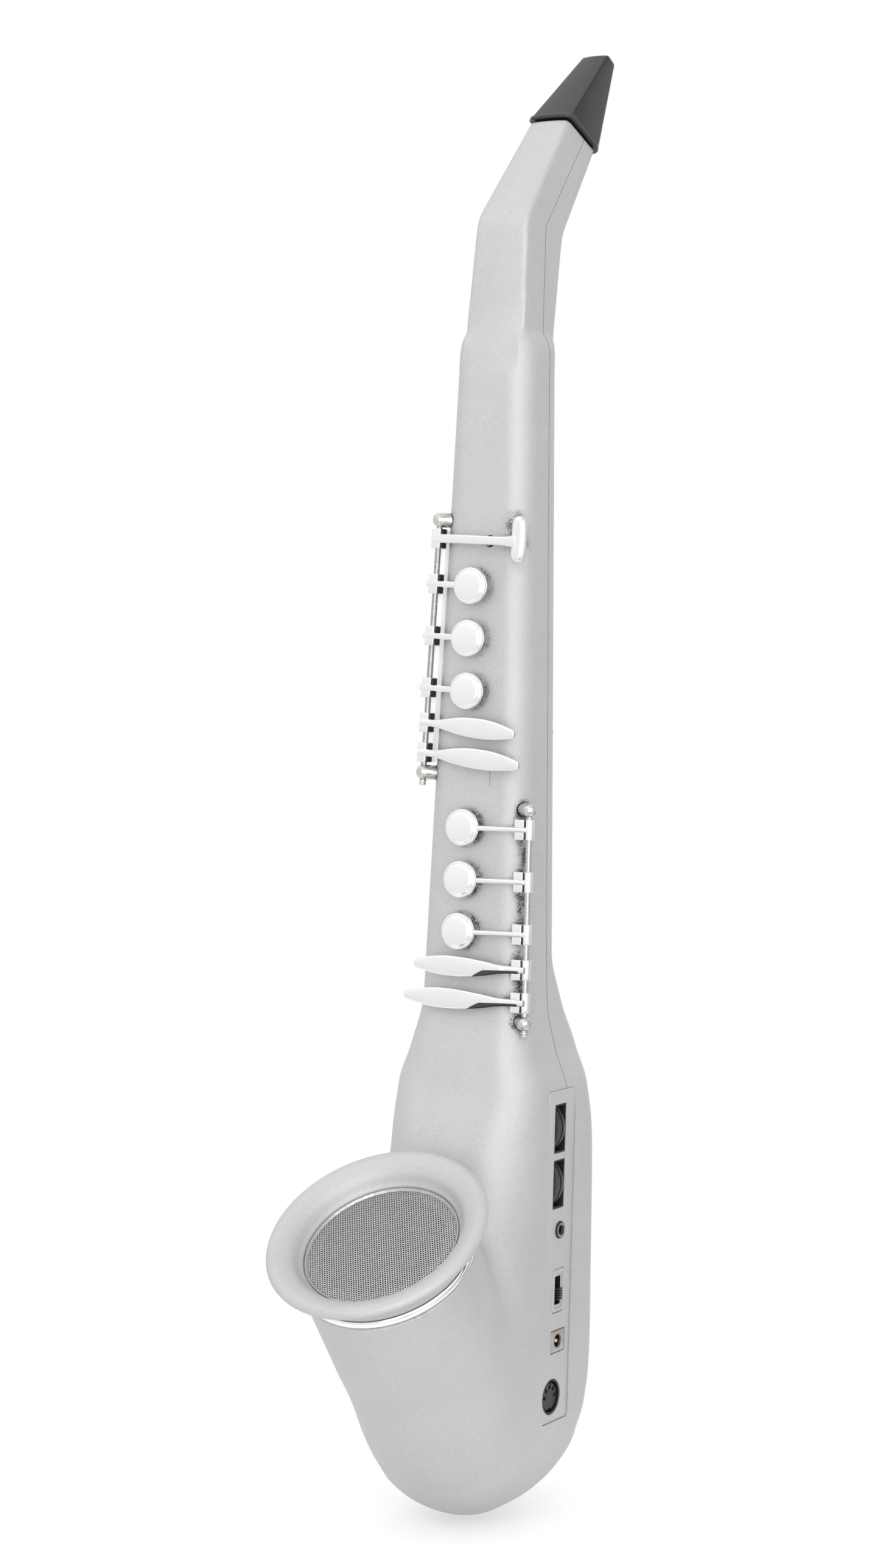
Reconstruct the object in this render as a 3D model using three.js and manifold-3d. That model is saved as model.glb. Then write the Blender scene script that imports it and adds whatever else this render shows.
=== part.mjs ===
// Digital wind controller: a keyed electronic horn with a tapered two-shell body, a bent neck,
// a flared bell over a loudspeaker, two hinged key stacks on the front and a socket panel on one side.
// Millimetres. +Z runs up the body, -Y is the front with keys and bell, +X is the side with the sockets.

import * as THREE from 'three';
import { mergeVertices } from 'three/addons/utils/BufferGeometryUtils.js';
import Module from 'manifold-3d';

const wasm = await Module();
wasm.setup();

// Two battery cells end to end set the height of their bay, and the bay sets the bow's.
const cellLength = 50.5;
const bayBottom = 56;
const bayRoom = 4.5;
const bayTop = bayBottom + cellLength * 2 + bayRoom;
const bowAboveBay = 78.5;
const cellPitch = 14.9;
const baySide = 0.45;
const bayHalfWidth = cellPitch * 1.5 + baySide;
const bowBesideBay = 12.3;

// Body: the bow is the wide lower part, the stem is the tapered part that carries the keys.
const wall = 2.4;
const seamGap = 0.3;
const fit = 0.3;
const overrun = 4;
const bowHeight = bayTop + bowAboveBay;
const bowHalfWidth = bayHalfWidth + bowBesideBay;
const bowReach = 78;
const bowBack = 41;
const stemLength = 240;
const stemTop = bowHeight + stemLength;
const stemFootHalfWidth = 24.6;
const stemTopHalfWidth = 18.3;
const stemFootFront = 23;
const stemTopFront = 19;
const stemFootBack = 13.6;
const stemTopBack = 13.4;
const stemFrontRound = 10;
const stemBackRound = 12;
const shoulderHeight = 18;

// Neck: rises from the body's shoulder, then bends back to the mouthpiece. Rises are from the stem's top.
const neckFootHalfWidth = 14.1;
const neckBendHalfWidth = 12.3;
const neckTopHalfWidth = 9.4;
const neckFootFront = 15.7;
const neckFootBack = 14.2;
const neckBendFront = 12;
const neckBendBack = 22.6;
const neckBendRise = 63;
const neckTopFrontY = 25.4;
const neckTopBackY = 53;
const neckTopFrontRise = 111;
const neckTopBackRise = 100;
const neckFrontRound = 2.4;
const neckBackRound = 6;

// Bell: a flared lip on a leaning tube.
const bellForward = 88.3;
const bellHeight = 134.4;
const bellLean = 35;
const tubeRadius = 35.9;
const tubeFlare = 0.9;
const lipFlare = 10.5;
const tubeTopRadius = tubeRadius + tubeFlare;
const lipRadius = tubeRadius + lipFlare;
const tubeTaper = 60;
const tubeWall = 2.9;
const tubeLength = 95;
const lipToTube = 17.2;
const grilleInset = 3.7;
const grilleRadius = tubeRadius - grilleInset;
const grilleDepth = 7.6;
const grilleThickness = 0.8;
const grillePitch = 8.2;
const grilleHoleRadius = 2.1;
const grilleHoleSides = 6;
const grilleRim = 2.6;
const ringHeight = 3.2;
const ringProud = 0.6;

// Loudspeaker behind the grille.
const speakerInset = 1.7;
const speakerRadius = grilleRadius - speakerInset;
const speakerDepth = 18;
const speakerRimDepth = 3;
const sheet = 1.2;
const magnetRadius = 17;
const magnetHeight = 12;
const voiceRadius = 8;
const coneRim = 3.6;
const coneSheet = 0.8;
const throatDepth = 28;

// Mouthpiece.
const mouthFrontRun = 40;
const mouthBackRun = 19.4;
const mouthFrontRise = 34.9;
const mouthBackRise = 42.6;
const mouthTipHalfWidth = 6.4;
const collarHeight = 1.6;
const collarProud = 1;
const collarGap = 0.9;
const airBore = 1.9;
const spigotDepth = 9;

// Key stacks: a hinge rod on two posts, with levers in front of the body.
const rodRadius = 1.25;
const rodClear = 0.06;
const blockHeight = 8.4;
const rodOutward = 2;
const rodLean = 1.2;
const rodBehindFront = 1.9;
const postRadius = 3.1;
const postLength = 7.2;
const barrelRadius = 2.4;
const flangeReach = 5.6;
const flangeThickness = 1.6;
const flangeForward = 2.2;
const discRadius = 7.7;
const discThickness = 3;
const discLift = 8.4;
const discDish = 0.5;
const discEdge = 0.5;
const discRim = 1.2;
const rodEnd = 2.2;
const rodScrew = 5.5;
const armRadius = 1.15;
const stemPinRadius = 2;
const pinClear = 0.8;
const keyTravel = 2.3;
const leafWidth = 8.4;
const leafThickness = 2.2;
const leafLift = 8.6;
const teeBarLength = 18.6;
const teeBarRound = 2.6;
const teeBarWidth = 5.6;
const teeBarThickness = 4.6;
const teeArmHeight = 3.8;
const teeArmThickness = 2.6;
const upperStackRise = 74.5;
const upperStackReach = 105.5;
const lowerStackReach = 88;
const stackSpacing = 13.4;
const upperDiscReaches = [22.4, 21.2, 20.9];
const lowerDiscReaches = [28.2, 28.6, 29];
const upperDiscShares = [0.336, 0.542, 0.747];
const lowerDiscShares = [0.092, 0.337, 0.582];
const upperLeafShares = [0.078, 0.197];
const lowerLeafShares = [0.748, 0.902];
const teeShare = 0.926;
const teeReach = 42.5;
const upperLeafReach = 47.1;
const lowerLeafReach = 49.5;
const upperLeafStep = 3;
const lowerLeafStep = 4.4;
const upperLeafDroop = 1.6;
const lowerLeafDroop = 0.3;
const leafPinReach = 30;
const teePinReach = 26;
const pinShort = 0.9;
const railWidth = 3.1;
const railDepth = 4.5;
const railBehindRod = 5.4;

// Socket panel on the +X side.
const panelBottom = 44;
const panelAbove = 5.7;
const panelFront = 11.6;
const panelBack = 10.6;
const panelThickness = 1.6;
const panelInset = 0.4;
const panelLedge = 2;
const panelCorner = 2;
const windowCentreY = -1.8;
const windowWidth = 9.4;
const windowShort = 0.9;
const wheelRadius = 11.2;
const wheelGap = 0.5;
const wheelThickness = 5.4;
const wheelGroove = 1.1;
const wheelShaft = 1.6;
const wheelShaftDepth = 5.4;
const wheelProud = 1.2;
const wheelChamfer = 0.4;
const wheelChannel = 0.7;
const potGap = 0.6;
const potSide = 9;
const potDepth = 7;
const phonesWindowGap = 3.3;
const phonesRadius = 3.5;
const phonesBore = 1.8;
const phonesBoreDepth = 13;
const phonesBodyWidth = 9;
const phonesBodyHeight = 12;
const phonesProud = 0.8;
const switchPhonesGap = 10.4;
const switchFrameWidth = 9.2;
const switchFrameHeight = 18.4;
const switchSlotWidth = 4.6;
const switchSlotHeight = 12;
const switchDepth = 3.4;
const switchProud = 0.3;
const knobDrop = 1.4;
const knobLength = 4.7;
const knobBaseHeight = 1.6;
const knobRibs = 5;
const knobRib = 0.5;
const knobRibRise = 1.2;
const dcSwitchGap = 7.9;
const dcWidth = 11;
const dcTall = 9;
const dcCentreY = 1;
const dcBore = 2.9;
const dcDepth = 9;
const dcPin = 1;
const dcPinBack = 1.5;
const midiUp = 10.8;
const midiDcGap = 11.2;
const midiRadius = 7.3;
const midiCentreY = -3.3;
const midiShellRadius = 6.6;
const midiShellSlot = 0.7;
const midiShellDepth = 7;
const midiFaceBack = 0.8;
const midiPinRadius = 0.8;
const midiPinCircle = 3.9;
const jackBoardIn = 14.5;
const jackBoardX = bowHalfWidth - jackBoardIn;
const midiHeight = panelBottom + midiUp;
const dcHeight = midiHeight + midiRadius + midiDcGap + dcTall / 2;
const switchHeight = dcHeight + dcTall / 2 + dcSwitchGap + switchFrameHeight / 2;
const knobHeight = switchHeight - knobDrop;
const phonesHeight = switchHeight + switchFrameHeight / 2 + switchPhonesGap + phonesBodyHeight / 2;
const windowHeight = (wheelRadius - windowShort) * 2;
const wheelHeightLower = phonesHeight + phonesBodyHeight / 2 + phonesWindowGap + windowHeight / 2;
const wheelHeightUpper = wheelHeightLower + (wheelRadius + wheelGap) * 2;
const panelTop = wheelHeightUpper + windowHeight / 2 + panelAbove;
const panelPostHeights = [
  midiHeight + midiRadius + midiDcGap / 2,
  phonesHeight - phonesBodyHeight / 2 - switchPhonesGap / 2,
];
const boardThickness = 1.6;

// Battery bay and its door at the back.
const cellRadius = 7.25;
const cellGap = 0.4;
const bayFront = 20.9;
const trayWall = 1.6;
const doorThickness = 2;
const doorMargin = 2.6;
const contactThickness = 0.8;
const cellNub = 1.2;

// Back of the stem: octave keys, thumb hook and strap ring.
const octaveWidth = 11;
const octaveLength = 17;
const octaveBelowTop = 67;
const octaveGap = 5;
const octaveUpperHinge = stemTop - octaveBelowTop;
const octaveHinges = [octaveUpperHinge - octaveLength - octaveGap, octaveUpperHinge];
const octaveRise = 5.6;
const octavePinUp = 11;
const octavePinRadius = 1.5;
const octavePinEnd = 3.9;
const octaveTravel = 1;
const trunnionRadius = 1.1;
const lugThickness = 2;
const lugReach = 4;
const lugHeight = 6;
const strapBelowKeys = 59;
const hookBelowStrap = 70;
const hookWidth = 16;
const hookReach = 17;
const strapHeight = octaveHinges[0] - strapBelowKeys;
const hookHeight = strapHeight - hookBelowStrap;
const strapRingRadius = 12;
const strapWire = 1.5;
const strapEyeRadius = 4;
const strapEyeThickness = 4;
const strapPlateThickness = 1.6;
const strapPlateWidth = 12;
const strapPlateHeight = 18;

// Circuit boards and the breath sensor inside.
const bossRadius = 1.7;
const bossAcross = 12.6;
const bossShares = [0.139, 0.316, 0.569, 0.809];
const keyBoardBehind = 9.2;
const keyBoardWidth = 29;
const keyBoardPast = 5;
const keyBoardShort = 3;
const contactStripWidth = 20.8;
const contactStripThickness = 0.8;
const domeRadius = 3.2;
const mainBoardY = 12.2;
const mainBoardWidth = 50;
const boardAboveBay = 10.5;
const boardUp = 4;
const boardBossIn = 12;
const boardBossAcross = 18;
const mainBoardBottom = bayBottom + boardUp;
const mainBoardTop = bayTop + boardAboveBay;
const boardBosses = [-boardBossAcross, boardBossAcross].flatMap((x) =>
  [bayBottom + boardBossIn, bayTop - boardBossIn].map((z) => [x, z]));
const octaveBoardBehind = 8;
const octaveBoardMiddle = (octaveHinges[0] + octaveHinges[1]) / 2 + octavePinUp;
const octaveBoardWidth = 16;
const octaveBoardLength = 44;
const octaveBossOffset = 18;
const sensorWidth = 14;
const sensorDepth = 9;
const sensorLength = 18;
const sensorBelowTop = 19;
const sensorHeight = stemTop - sensorBelowTop;
const nippleRadius = 1.6;
const nippleLength = 8;
const breathTubeRadius = 2.9;
const breathTubeBore = 1.9;
const doorRimDepth = 10;

// Facet counts.
const cornerSteps = 4;
const innerCornerSteps = 3;
const roundFacets = 16;
const smallFacets = 10;
const finestFacets = 8;
const pivotFacets = 16;
const bellFacets = 28;

// Paints, plastics and metals.
const paint = { color: 0xc9c9c7, roughness: 0.45, metalness: 0.35 };
const chrome = { color: 0xe8e8ea, roughness: 0.12, metalness: 1 };
const steel = { color: 0xb4aea6, roughness: 0.3, metalness: 1 };
const darkPlastic = { color: 0x2c2c2f, roughness: 0.5, metalness: 0 };
const blackPlastic = { color: 0x151516, roughness: 0.45, metalness: 0 };
const rubber = { color: 0x3a3a3c, roughness: 0.85, metalness: 0 };
const circuitBoard = { color: 0x2f5b3a, roughness: 0.6, metalness: 0 };
const paper = { color: 0x222224, roughness: 0.9, metalness: 0 };
const brass = { color: 0xb08a4a, roughness: 0.35, metalness: 1 };
const cellSkin = { color: 0x8a8f96, roughness: 0.4, metalness: 0.4 };

// Turns a closed geometry into a solid that can be joined and cut.
function solid(geometry) {
  const bare = geometry.clone();
  bare.deleteAttribute('normal');
  bare.deleteAttribute('uv');
  const merged = mergeVertices(bare);
  return new wasm.Manifold(new wasm.Mesh({
    numProp: 3,
    vertProperties: merged.attributes.position.array,
    triVerts: new Uint32Array(merged.index.array),
  }));
}

// Turns a solid back into a geometry for a mesh.
function geometryOf(manifold) {
  const mesh = manifold.getMesh();
  const geometry = new THREE.BufferGeometry();
  geometry.setAttribute('position', new THREE.BufferAttribute(mesh.vertProperties, 3));
  geometry.setIndex(new THREE.BufferAttribute(mesh.triVerts, 1));
  geometry.computeVertexNormals();
  return geometry;
}

function join(solids) {
  return solids.reduce((whole, part) => whole.add(part));
}

function cut(whole, solids) {
  return solids.reduce((rest, part) => rest.subtract(part), whole);
}

function box(width, depth, height, x = 0, y = 0, z = 0) {
  return solid(new THREE.BoxGeometry(width, depth, height).translate(x, y, z));
}

// A cylinder along Z, from z = 0 up.
function cylinder(radius, height, facets = smallFacets, topRadius = radius) {
  return new THREE.CylinderGeometry(topRadius, radius, height, facets)
    .rotateX(Math.PI / 2)
    .translate(0, 0, height / 2);
}

// A closed profile of [radius, height] points turned about Z.
function revolve(profile, facets = roundFacets) {
  const points = profile.map(([radius, height]) => new THREE.Vector2(radius, height));
  return new THREE.LatheGeometry(points, facets).rotateX(Math.PI / 2);
}

// A flat outline in X and Y pushed up along Z.
function prism(shape, height, curveSegments = cornerSteps) {
  return new THREE.ExtrudeGeometry(shape, { depth: height, bevelEnabled: false, curveSegments });
}

function roundedOutline(width, height, radius) {
  const shape = new THREE.Shape();
  const halfWidth = width / 2;
  const halfHeight = height / 2;
  shape.moveTo(-halfWidth + radius, -halfHeight);
  shape.lineTo(halfWidth - radius, -halfHeight);
  shape.absarc(halfWidth - radius, -halfHeight + radius, radius, -Math.PI / 2, 0);
  shape.lineTo(halfWidth, halfHeight - radius);
  shape.absarc(halfWidth - radius, halfHeight - radius, radius, 0, Math.PI / 2);
  shape.lineTo(-halfWidth + radius, halfHeight);
  shape.absarc(-halfWidth + radius, halfHeight - radius, radius, Math.PI / 2, Math.PI);
  shape.lineTo(-halfWidth, -halfHeight + radius);
  shape.absarc(-halfWidth + radius, -halfHeight + radius, radius, Math.PI, Math.PI * 1.5);
  return shape;
}

// Skins a stack of rings that have equal counts of points, and closes both ends.
function loft(rings) {
  const count = rings[0].length;
  const positions = [];
  const index = [];
  for (const ring of rings) {
    for (const point of ring) positions.push(point.x, point.y, point.z);
  }
  for (let row = 0; row + 1 < rings.length; row += 1) {
    for (let i = 0; i < count; i += 1) {
      const next = (i + 1) % count;
      const a = row * count + i;
      const b = row * count + next;
      index.push(a, b, b + count, a, b + count, a + count);
    }
  }
  closeEnd(positions, index, rings[0], 0, true);
  closeEnd(positions, index, rings[rings.length - 1], (rings.length - 1) * count, false);
  const geometry = new THREE.BufferGeometry();
  geometry.setAttribute('position', new THREE.Float32BufferAttribute(positions, 3));
  geometry.setIndex(index);
  return geometry;
}

function closeEnd(positions, index, ring, first, facesDown) {
  const centre = ring.reduce((sum, point) => sum.add(point), new THREE.Vector3());
  centre.divideScalar(ring.length);
  const middle = positions.length / 3;
  positions.push(centre.x, centre.y, centre.z);
  for (let i = 0; i < ring.length; i += 1) {
    const a = first + i;
    const b = first + ((i + 1) % ring.length);
    if (facesDown) index.push(middle, b, a);
    else index.push(middle, a, b);
  }
}

// The four corners of a rounded section, anticlockwise from the back right: [side, end] signs.
const sectionCorners = [[1, 1], [-1, 1], [-1, -1], [1, -1]];

// A rounded section across the body in its own flat frame: x across, y to the back.
function sectionPoints({ halfWidth, front, back, frontRound, backRound }, steps = cornerSteps) {
  const points = [];
  sectionCorners.forEach(([side, end], corner) => {
    const radius = end > 0 ? backRound : frontRound;
    const centreX = side * (halfWidth - radius);
    const centreY = end > 0 ? back - radius : radius - front;
    for (let step = 0; step <= steps; step += 1) {
      const turn = (corner + step / steps) * Math.PI / 2;
      points.push([centreX + radius * Math.cos(turn), centreY + radius * Math.sin(turn)]);
    }
  });
  return points;
}

// Bow stations from the foot up, as shares of bowHeight, bowHalfWidth, bowReach, bowBack,
// and of bowHalfWidth again for the front and back corner rounds.
const bowStationShares = [
  [0.013, 0.13, 0.24, -0.33, 0.07, 0.06],
  [0.019, 0.31, 0.33, -0.13, 0.29, 0.24],
  [0.032, 0.50, 0.43, 0.18, 0.48, 0.43],
  [0.052, 0.68, 0.535, 0.43, 0.66, 0.59],
  [0.087, 0.86, 0.655, 0.765, 0.83, 0.78],
  [0.140, 0.975, 0.775, 0.985, 0.92, 0.80],
  [0.190, 1.00, 0.875, 1.03, 0.96, 0.66],
  [0.250, 1.00, 0.955, 1.03, 0.97, 0.54],
  [0.400, 1.00, 0.80, 0.99, 0.96, 0.48],
  [0.540, 1.00, 0.66, 0.965, 0.88, 0.48],
  [0.645, 1.00, 0.52, 0.94, 0.68, 0.48],
  [0.700, 0.995, 0.465, 0.91, 0.57, 0.48],
  [0.767, 0.97, 0.40, 0.83, 0.46, 0.48],
  [0.833, 0.825, 0.365, 0.77, 0.38, 0.46],
  [0.917, 0.72, 0.305, 0.55, 0.31, 0.40],
];
const stemStationShares = [0, 0.1, 0.25, 0.65, 0.92];
const thinStation = 6;

function bowStations() {
  return bowStationShares.map(([up, wide, front, back, frontRound, backRound]) => ({
    height: up * bowHeight,
    halfWidth: wide * bowHalfWidth,
    front: front * bowReach,
    back: back * bowBack,
    frontRound: frontRound * bowHalfWidth,
    backRound: backRound * bowHalfWidth,
  }));
}

function blend(from, to, share) {
  return from + (to - from) * share;
}

function stemStation(share) {
  return {
    height: blend(bowHeight, stemTop, share),
    halfWidth: blend(stemFootHalfWidth, stemTopHalfWidth, share),
    front: blend(stemFootFront, stemTopFront, share),
    back: blend(stemFootBack, stemTopBack, share),
    frontRound: stemFrontRound,
    backRound: stemBackRound,
  };
}

// The shoulder rounds the stem over into the narrower neck: shares of shoulderHeight and of the way in.
const shoulderShares = [[0.45, 0.05], [0.75, 0.3], [1, 0.95]];

function shoulderStations() {
  const stem = stemStation(1);
  return shoulderShares.map(([up, inward]) => ({
    height: stemTop + up * shoulderHeight,
    halfWidth: blend(stem.halfWidth, neckFootHalfWidth, inward),
    front: blend(stem.front, neckFootFront, inward),
    back: blend(stem.back, neckFootBack, inward),
    frontRound: blend(stem.frontRound, neckFrontRound, inward),
    backRound: blend(stem.backRound, neckBackRound, inward),
  }));
}

const bodyStations = [
  ...bowStations(), ...stemStationShares.map(stemStation), stemStation(1), ...shoulderStations(),
];

// The body's outer size at a height, read between its stations.
function bodyAt(height) {
  const upper = bodyStations.findIndex((station) => station.height >= height);
  const high = bodyStations[Math.max(upper, 1)];
  const low = bodyStations[Math.max(upper, 1) - 1];
  const share = (height - low.height) / (high.height - low.height);
  const at = {};
  for (const key of Object.keys(high)) at[key] = blend(low[key], high[key], share);
  return at;
}

function shrunk(station, inset) {
  const lift = Math.max(0, 1 - station.height / bowHeight) * inset;
  return {
    height: station.height + lift,
    halfWidth: station.halfWidth - inset,
    front: station.front - inset,
    back: station.back - inset,
    frontRound: Math.max(station.frontRound - inset, inset / 2),
    backRound: Math.max(station.backRound - inset, inset / 2),
  };
}

// The body, drawn in by an inset. Stations too thin to be drawn in that far are left out.
function bodyLoft(inset, steps = cornerSteps) {
  const stations = bodyStations
    .filter(({ backRound, back, front }) => backRound > inset * 2 && back + front > inset * thinStation)
    .map((station) => shrunk(station, inset));
  return solid(loft(stations.map((station) =>
    sectionPoints(station, steps).map(([x, y]) => new THREE.Vector3(x, y, station.height)))));
}

// The neck's stations: half width, then the front and back points of each section in Y and Z.
const bendTiltShare = 0.2;
const bendEndShare = 0.25;
const straightShares = [0.45, 0.8];

function neckStations() {
  const foot = stemTop + shoulderHeight;
  const tilt = (neckTopFrontRise - neckTopBackRise) * bendTiltShare;
  const root = neckStation(neckFootHalfWidth, [-neckFootFront, stemTop], [neckFootBack, stemTop]);
  const low = neckStation(neckFootHalfWidth, [-neckFootFront, foot], [neckFootBack, foot]);
  const bend = neckStation(neckBendHalfWidth, [-neckBendFront, stemTop + neckBendRise + tilt],
    [neckBendBack, stemTop + neckBendRise - tilt]);
  const top = neckStation(neckTopHalfWidth, [neckTopFrontY, stemTop + neckTopFrontRise],
    [neckTopBackY, stemTop + neckTopBackRise]);
  const straight = straightShares.map((share) => between(low, bend, share));
  return [root, low, ...straight, bend, between(bend, top, bendEndShare), top];
}

function neckStation(halfWidth, front, back) {
  return { halfWidth, front, back };
}

function between(low, high, share) {
  return {
    halfWidth: blend(low.halfWidth, high.halfWidth, share),
    front: low.front.map((value, i) => blend(value, high.front[i], share)),
    back: low.back.map((value, i) => blend(value, high.back[i], share)),
  };
}

// A rounded section laid between a front point and a back point that both lie in the YZ plane.
function leaningRing({ halfWidth, front, back }, inset, frontRound, backRound, steps = cornerSteps) {
  const along = new THREE.Vector3(0, back[0] - front[0], back[1] - front[1]);
  const depth = along.length();
  along.normalize();
  const start = new THREE.Vector3(0, front[0], front[1]);
  const points = sectionPoints({
    halfWidth: halfWidth - inset,
    front: -inset,
    back: depth - inset,
    frontRound: Math.max(frontRound - inset, inset / 2, wall / 2),
    backRound: Math.max(backRound - inset, inset / 2, wall / 2),
  }, steps);
  return points.map(([x, y]) => start.clone().addScaledVector(along, y).setX(x));
}

// The neck, cut short or carried on past its top by a length along its own direction.
function neckLoft(inset, extend, steps = cornerSteps) {
  const stations = neckStations();
  if (extend > 0) stations.push(pastNeckTop(extend));
  return solid(loft(stations.map((station) =>
    leaningRing(station, inset, neckFrontRound, neckBackRound, steps))));
}

// The neck's section at a distance past its top, or before it where the distance is negative.
function pastNeckTop(distance) {
  const stations = neckStations();
  const top = stations[stations.length - 1];
  const before = stations[stations.length - 2];
  const run = Math.hypot(top.front[0] - before.front[0], top.front[1] - before.front[1]);
  return between(before, top, 1 + distance / run);
}

// Places a geometry that was made about Z onto the bell's leaning axis, from its depth below the lip.
function onBellAxis(geometry, depth) {
  return geometry
    .translate(0, 0, -depth)
    .rotateX(THREE.MathUtils.degToRad(bellLean))
    .translate(0, -bellForward, bellHeight);
}

function tubeSolid(radius, from, to, topRadius = radius) {
  return solid(onBellAxis(cylinder(radius, to - from, bellFacets, topRadius), to));
}

const outerBody = join([
  bodyLoft(0),
  neckLoft(0, 0),
  tubeSolid(tubeRadius, lipToTube + fit, lipToTube + tubeTaper, tubeTopRadius),
  tubeSolid(tubeRadius, lipToTube + tubeTaper, lipToTube + tubeLength),
]);
const innerBody = join([
  bodyLoft(wall, innerCornerSteps),
  neckLoft(wall, neckTopHalfWidth, innerCornerSteps),
  tubeSolid(tubeRadius - tubeWall, lipToTube - overrun, lipToTube + tubeLength - wall),
]);

// Lays a shape so that it is drawn in Y and Z and pushed along X.
function sideways(geometry) {
  return geometry.rotateX(Math.PI / 2).rotateZ(Math.PI / 2);
}

// Lays a shape so that it is drawn in X and Z and pushed along -Y.
function forwards(geometry) {
  return geometry.rotateX(Math.PI / 2);
}

function outline(points) {
  const shape = new THREE.Shape();
  points.forEach(([x, y], i) => (i ? shape.lineTo(x, y) : shape.moveTo(x, y)));
  return shape;
}

// The split between the shells from the foot to above the neck: shares of bowBack and bowHeight,
// then how far back in the section the seam lies at the neck's foot, bend and top.
const bowSeamShares = [[0.09, -0.1], [0.09, 0.77], [0.02, 0.9], [0, 1]];
const neckSeamShares = { foot: 0.56, bend: 0.47, top: 0.55 };

function seamPoints() {
  const points = bowSeamShares.map(([back, up]) => [back * bowBack, up * bowHeight]);
  points.push([0, stemTop]);
  const foot = stemTop + shoulderHeight;
  points.push([blend(-neckFootFront, neckFootBack, neckSeamShares.foot), foot]);
  points.push([blend(-neckBendFront, neckBendBack, neckSeamShares.bend), stemTop + neckBendRise]);
  const top = pastNeckTop(0);
  const above = pastNeckTop(neckTopHalfWidth * 2);
  for (const { front, back } of [top, above]) {
    points.push([0, 1].map((axis) => blend(front[axis], back[axis], neckSeamShares.top)));
  }
  return points;
}

function rearRegion(offset) {
  const points = seamPoints().map(([y, z]) => [y + offset, z]);
  const far = bowReach * 2;
  points.push([far, points[points.length - 1][1]], [far, points[0][1]]);
  return solid(sideways(prism(outline(points), bowHalfWidth * 4)).translate(-bowHalfWidth * 2, 0, 0));
}

// The rounded outline of the socket panel, grown or shrunk by a margin, pushed along X.
function panelPrism(margin, fromX, toX) {
  const width = panelFront + panelBack + margin * 2;
  const height = panelTop - panelBottom + margin * 2;
  return sideways(prism(roundedOutline(width, height, panelCorner + Math.max(margin, 0)), toX - fromX))
    .translate(fromX, (panelBack - panelFront) / 2, (panelTop + panelBottom) / 2);
}

const panelOuterX = bowHalfWidth - panelInset;
const panelInnerX = panelOuterX - panelThickness;

// The outline of the battery bay, grown by a margin, pushed along Y.
function bayPrism(margin, fromY, toY) {
  const shape = roundedOutline((bayHalfWidth + margin) * 2, bayTop - bayBottom + margin * 2, trayWall);
  return forwards(prism(shape, toY - fromY)).translate(0, toY, (bayTop + bayBottom) / 2);
}

// Key stack frames: Z runs along the rod, X points to the touchpieces and -Y to the front.
// The rods follow the stem's straight taper, carried on below its foot.
function rodPoint(side, height, outward) {
  const at = stemStation((height - bowHeight) / (stemTop - bowHeight));
  return new THREE.Vector3(side * (at.halfWidth + outward), rodBehindFront - at.front, height);
}

function stackFrame(side, start, end) {
  const alongZ = end.clone().sub(start).normalize();
  const towardX = new THREE.Vector3(-side, 0, 0);
  const alongY = new THREE.Vector3().crossVectors(alongZ, towardX).normalize();
  towardX.crossVectors(alongY, alongZ);
  const frame = new THREE.Group();
  frame.setRotationFromMatrix(new THREE.Matrix4().makeBasis(towardX, alongY, alongZ));
  frame.position.copy(start);
  frame.updateMatrixWorld(true);
  return frame;
}

const upperBottom = bowHeight + upperStackRise;
const upperTop = upperBottom + upperStackReach;
const lowerTop = upperBottom - stackSpacing;
const lowerBottom = lowerTop - lowerStackReach;
const upperStart = rodPoint(-1, upperBottom, rodOutward + rodLean);
const upperEnd = rodPoint(-1, upperTop, rodOutward);
const lowerStart = rodPoint(1, lowerTop, rodOutward + rodLean);
const lowerEnd = rodPoint(1, lowerBottom, rodOutward);
const upperLength = upperStart.distanceTo(upperEnd);
const lowerLength = lowerStart.distanceTo(lowerEnd);
const upperStack = stackFrame(-1, upperStart, upperEnd);
const lowerStack = stackFrame(1, lowerStart, lowerEnd);

// The stem's front face: the origin lies on it at the stem's foot, Z runs up the face and Y into the body.
const frontFace = new THREE.Group();
frontFace.rotation.x = -Math.atan((stemFootFront - stemTopFront) / (stemTop - bowHeight));
frontFace.position.set(0, -stemFootFront, bowHeight);
frontFace.updateMatrixWorld(true);

function placedBy(frame, shape) {
  return shape.transform(frame.matrixWorld.elements);
}

function turnFromZ(direction) {
  return new THREE.Quaternion().setFromUnitVectors(new THREE.Vector3(0, 0, 1), direction);
}

// A round bar between two points.
function bar(from, to, radius, facets = smallFacets) {
  const start = new THREE.Vector3(...from);
  const along = new THREE.Vector3(...to).sub(start);
  const turn = turnFromZ(along.clone().normalize());
  return solid(cylinder(radius, along.length(), facets).applyQuaternion(turn).translate(...start));
}

// A pin that turns, and the bore it turns in: the bore's flats clear the pin's corners.
function pivotPin(from, to, radius) {
  return bar(from, to, radius, pivotFacets);
}

function pivotBore(from, to, radius) {
  return bar(from, to, (radius + rodClear) / Math.cos(Math.PI / pivotFacets), pivotFacets);
}

// A round pipe through points that all lie in the plane square to a side direction.
function pipe(points, radius, side, facets = smallFacets) {
  const rings = points.map((point, i) => {
    const before = points[Math.max(i - 1, 0)];
    const after = points[Math.min(i + 1, points.length - 1)];
    const inward = after.clone().sub(before).normalize().cross(side);
    return Array.from({ length: facets }, (_, k) => {
      const turn = k / facets * Math.PI * 2;
      return point.clone()
        .addScaledVector(side, radius * Math.cos(turn))
        .addScaledVector(inward, radius * Math.sin(turn));
    });
  });
  return solid(loft(rings));
}

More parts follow.
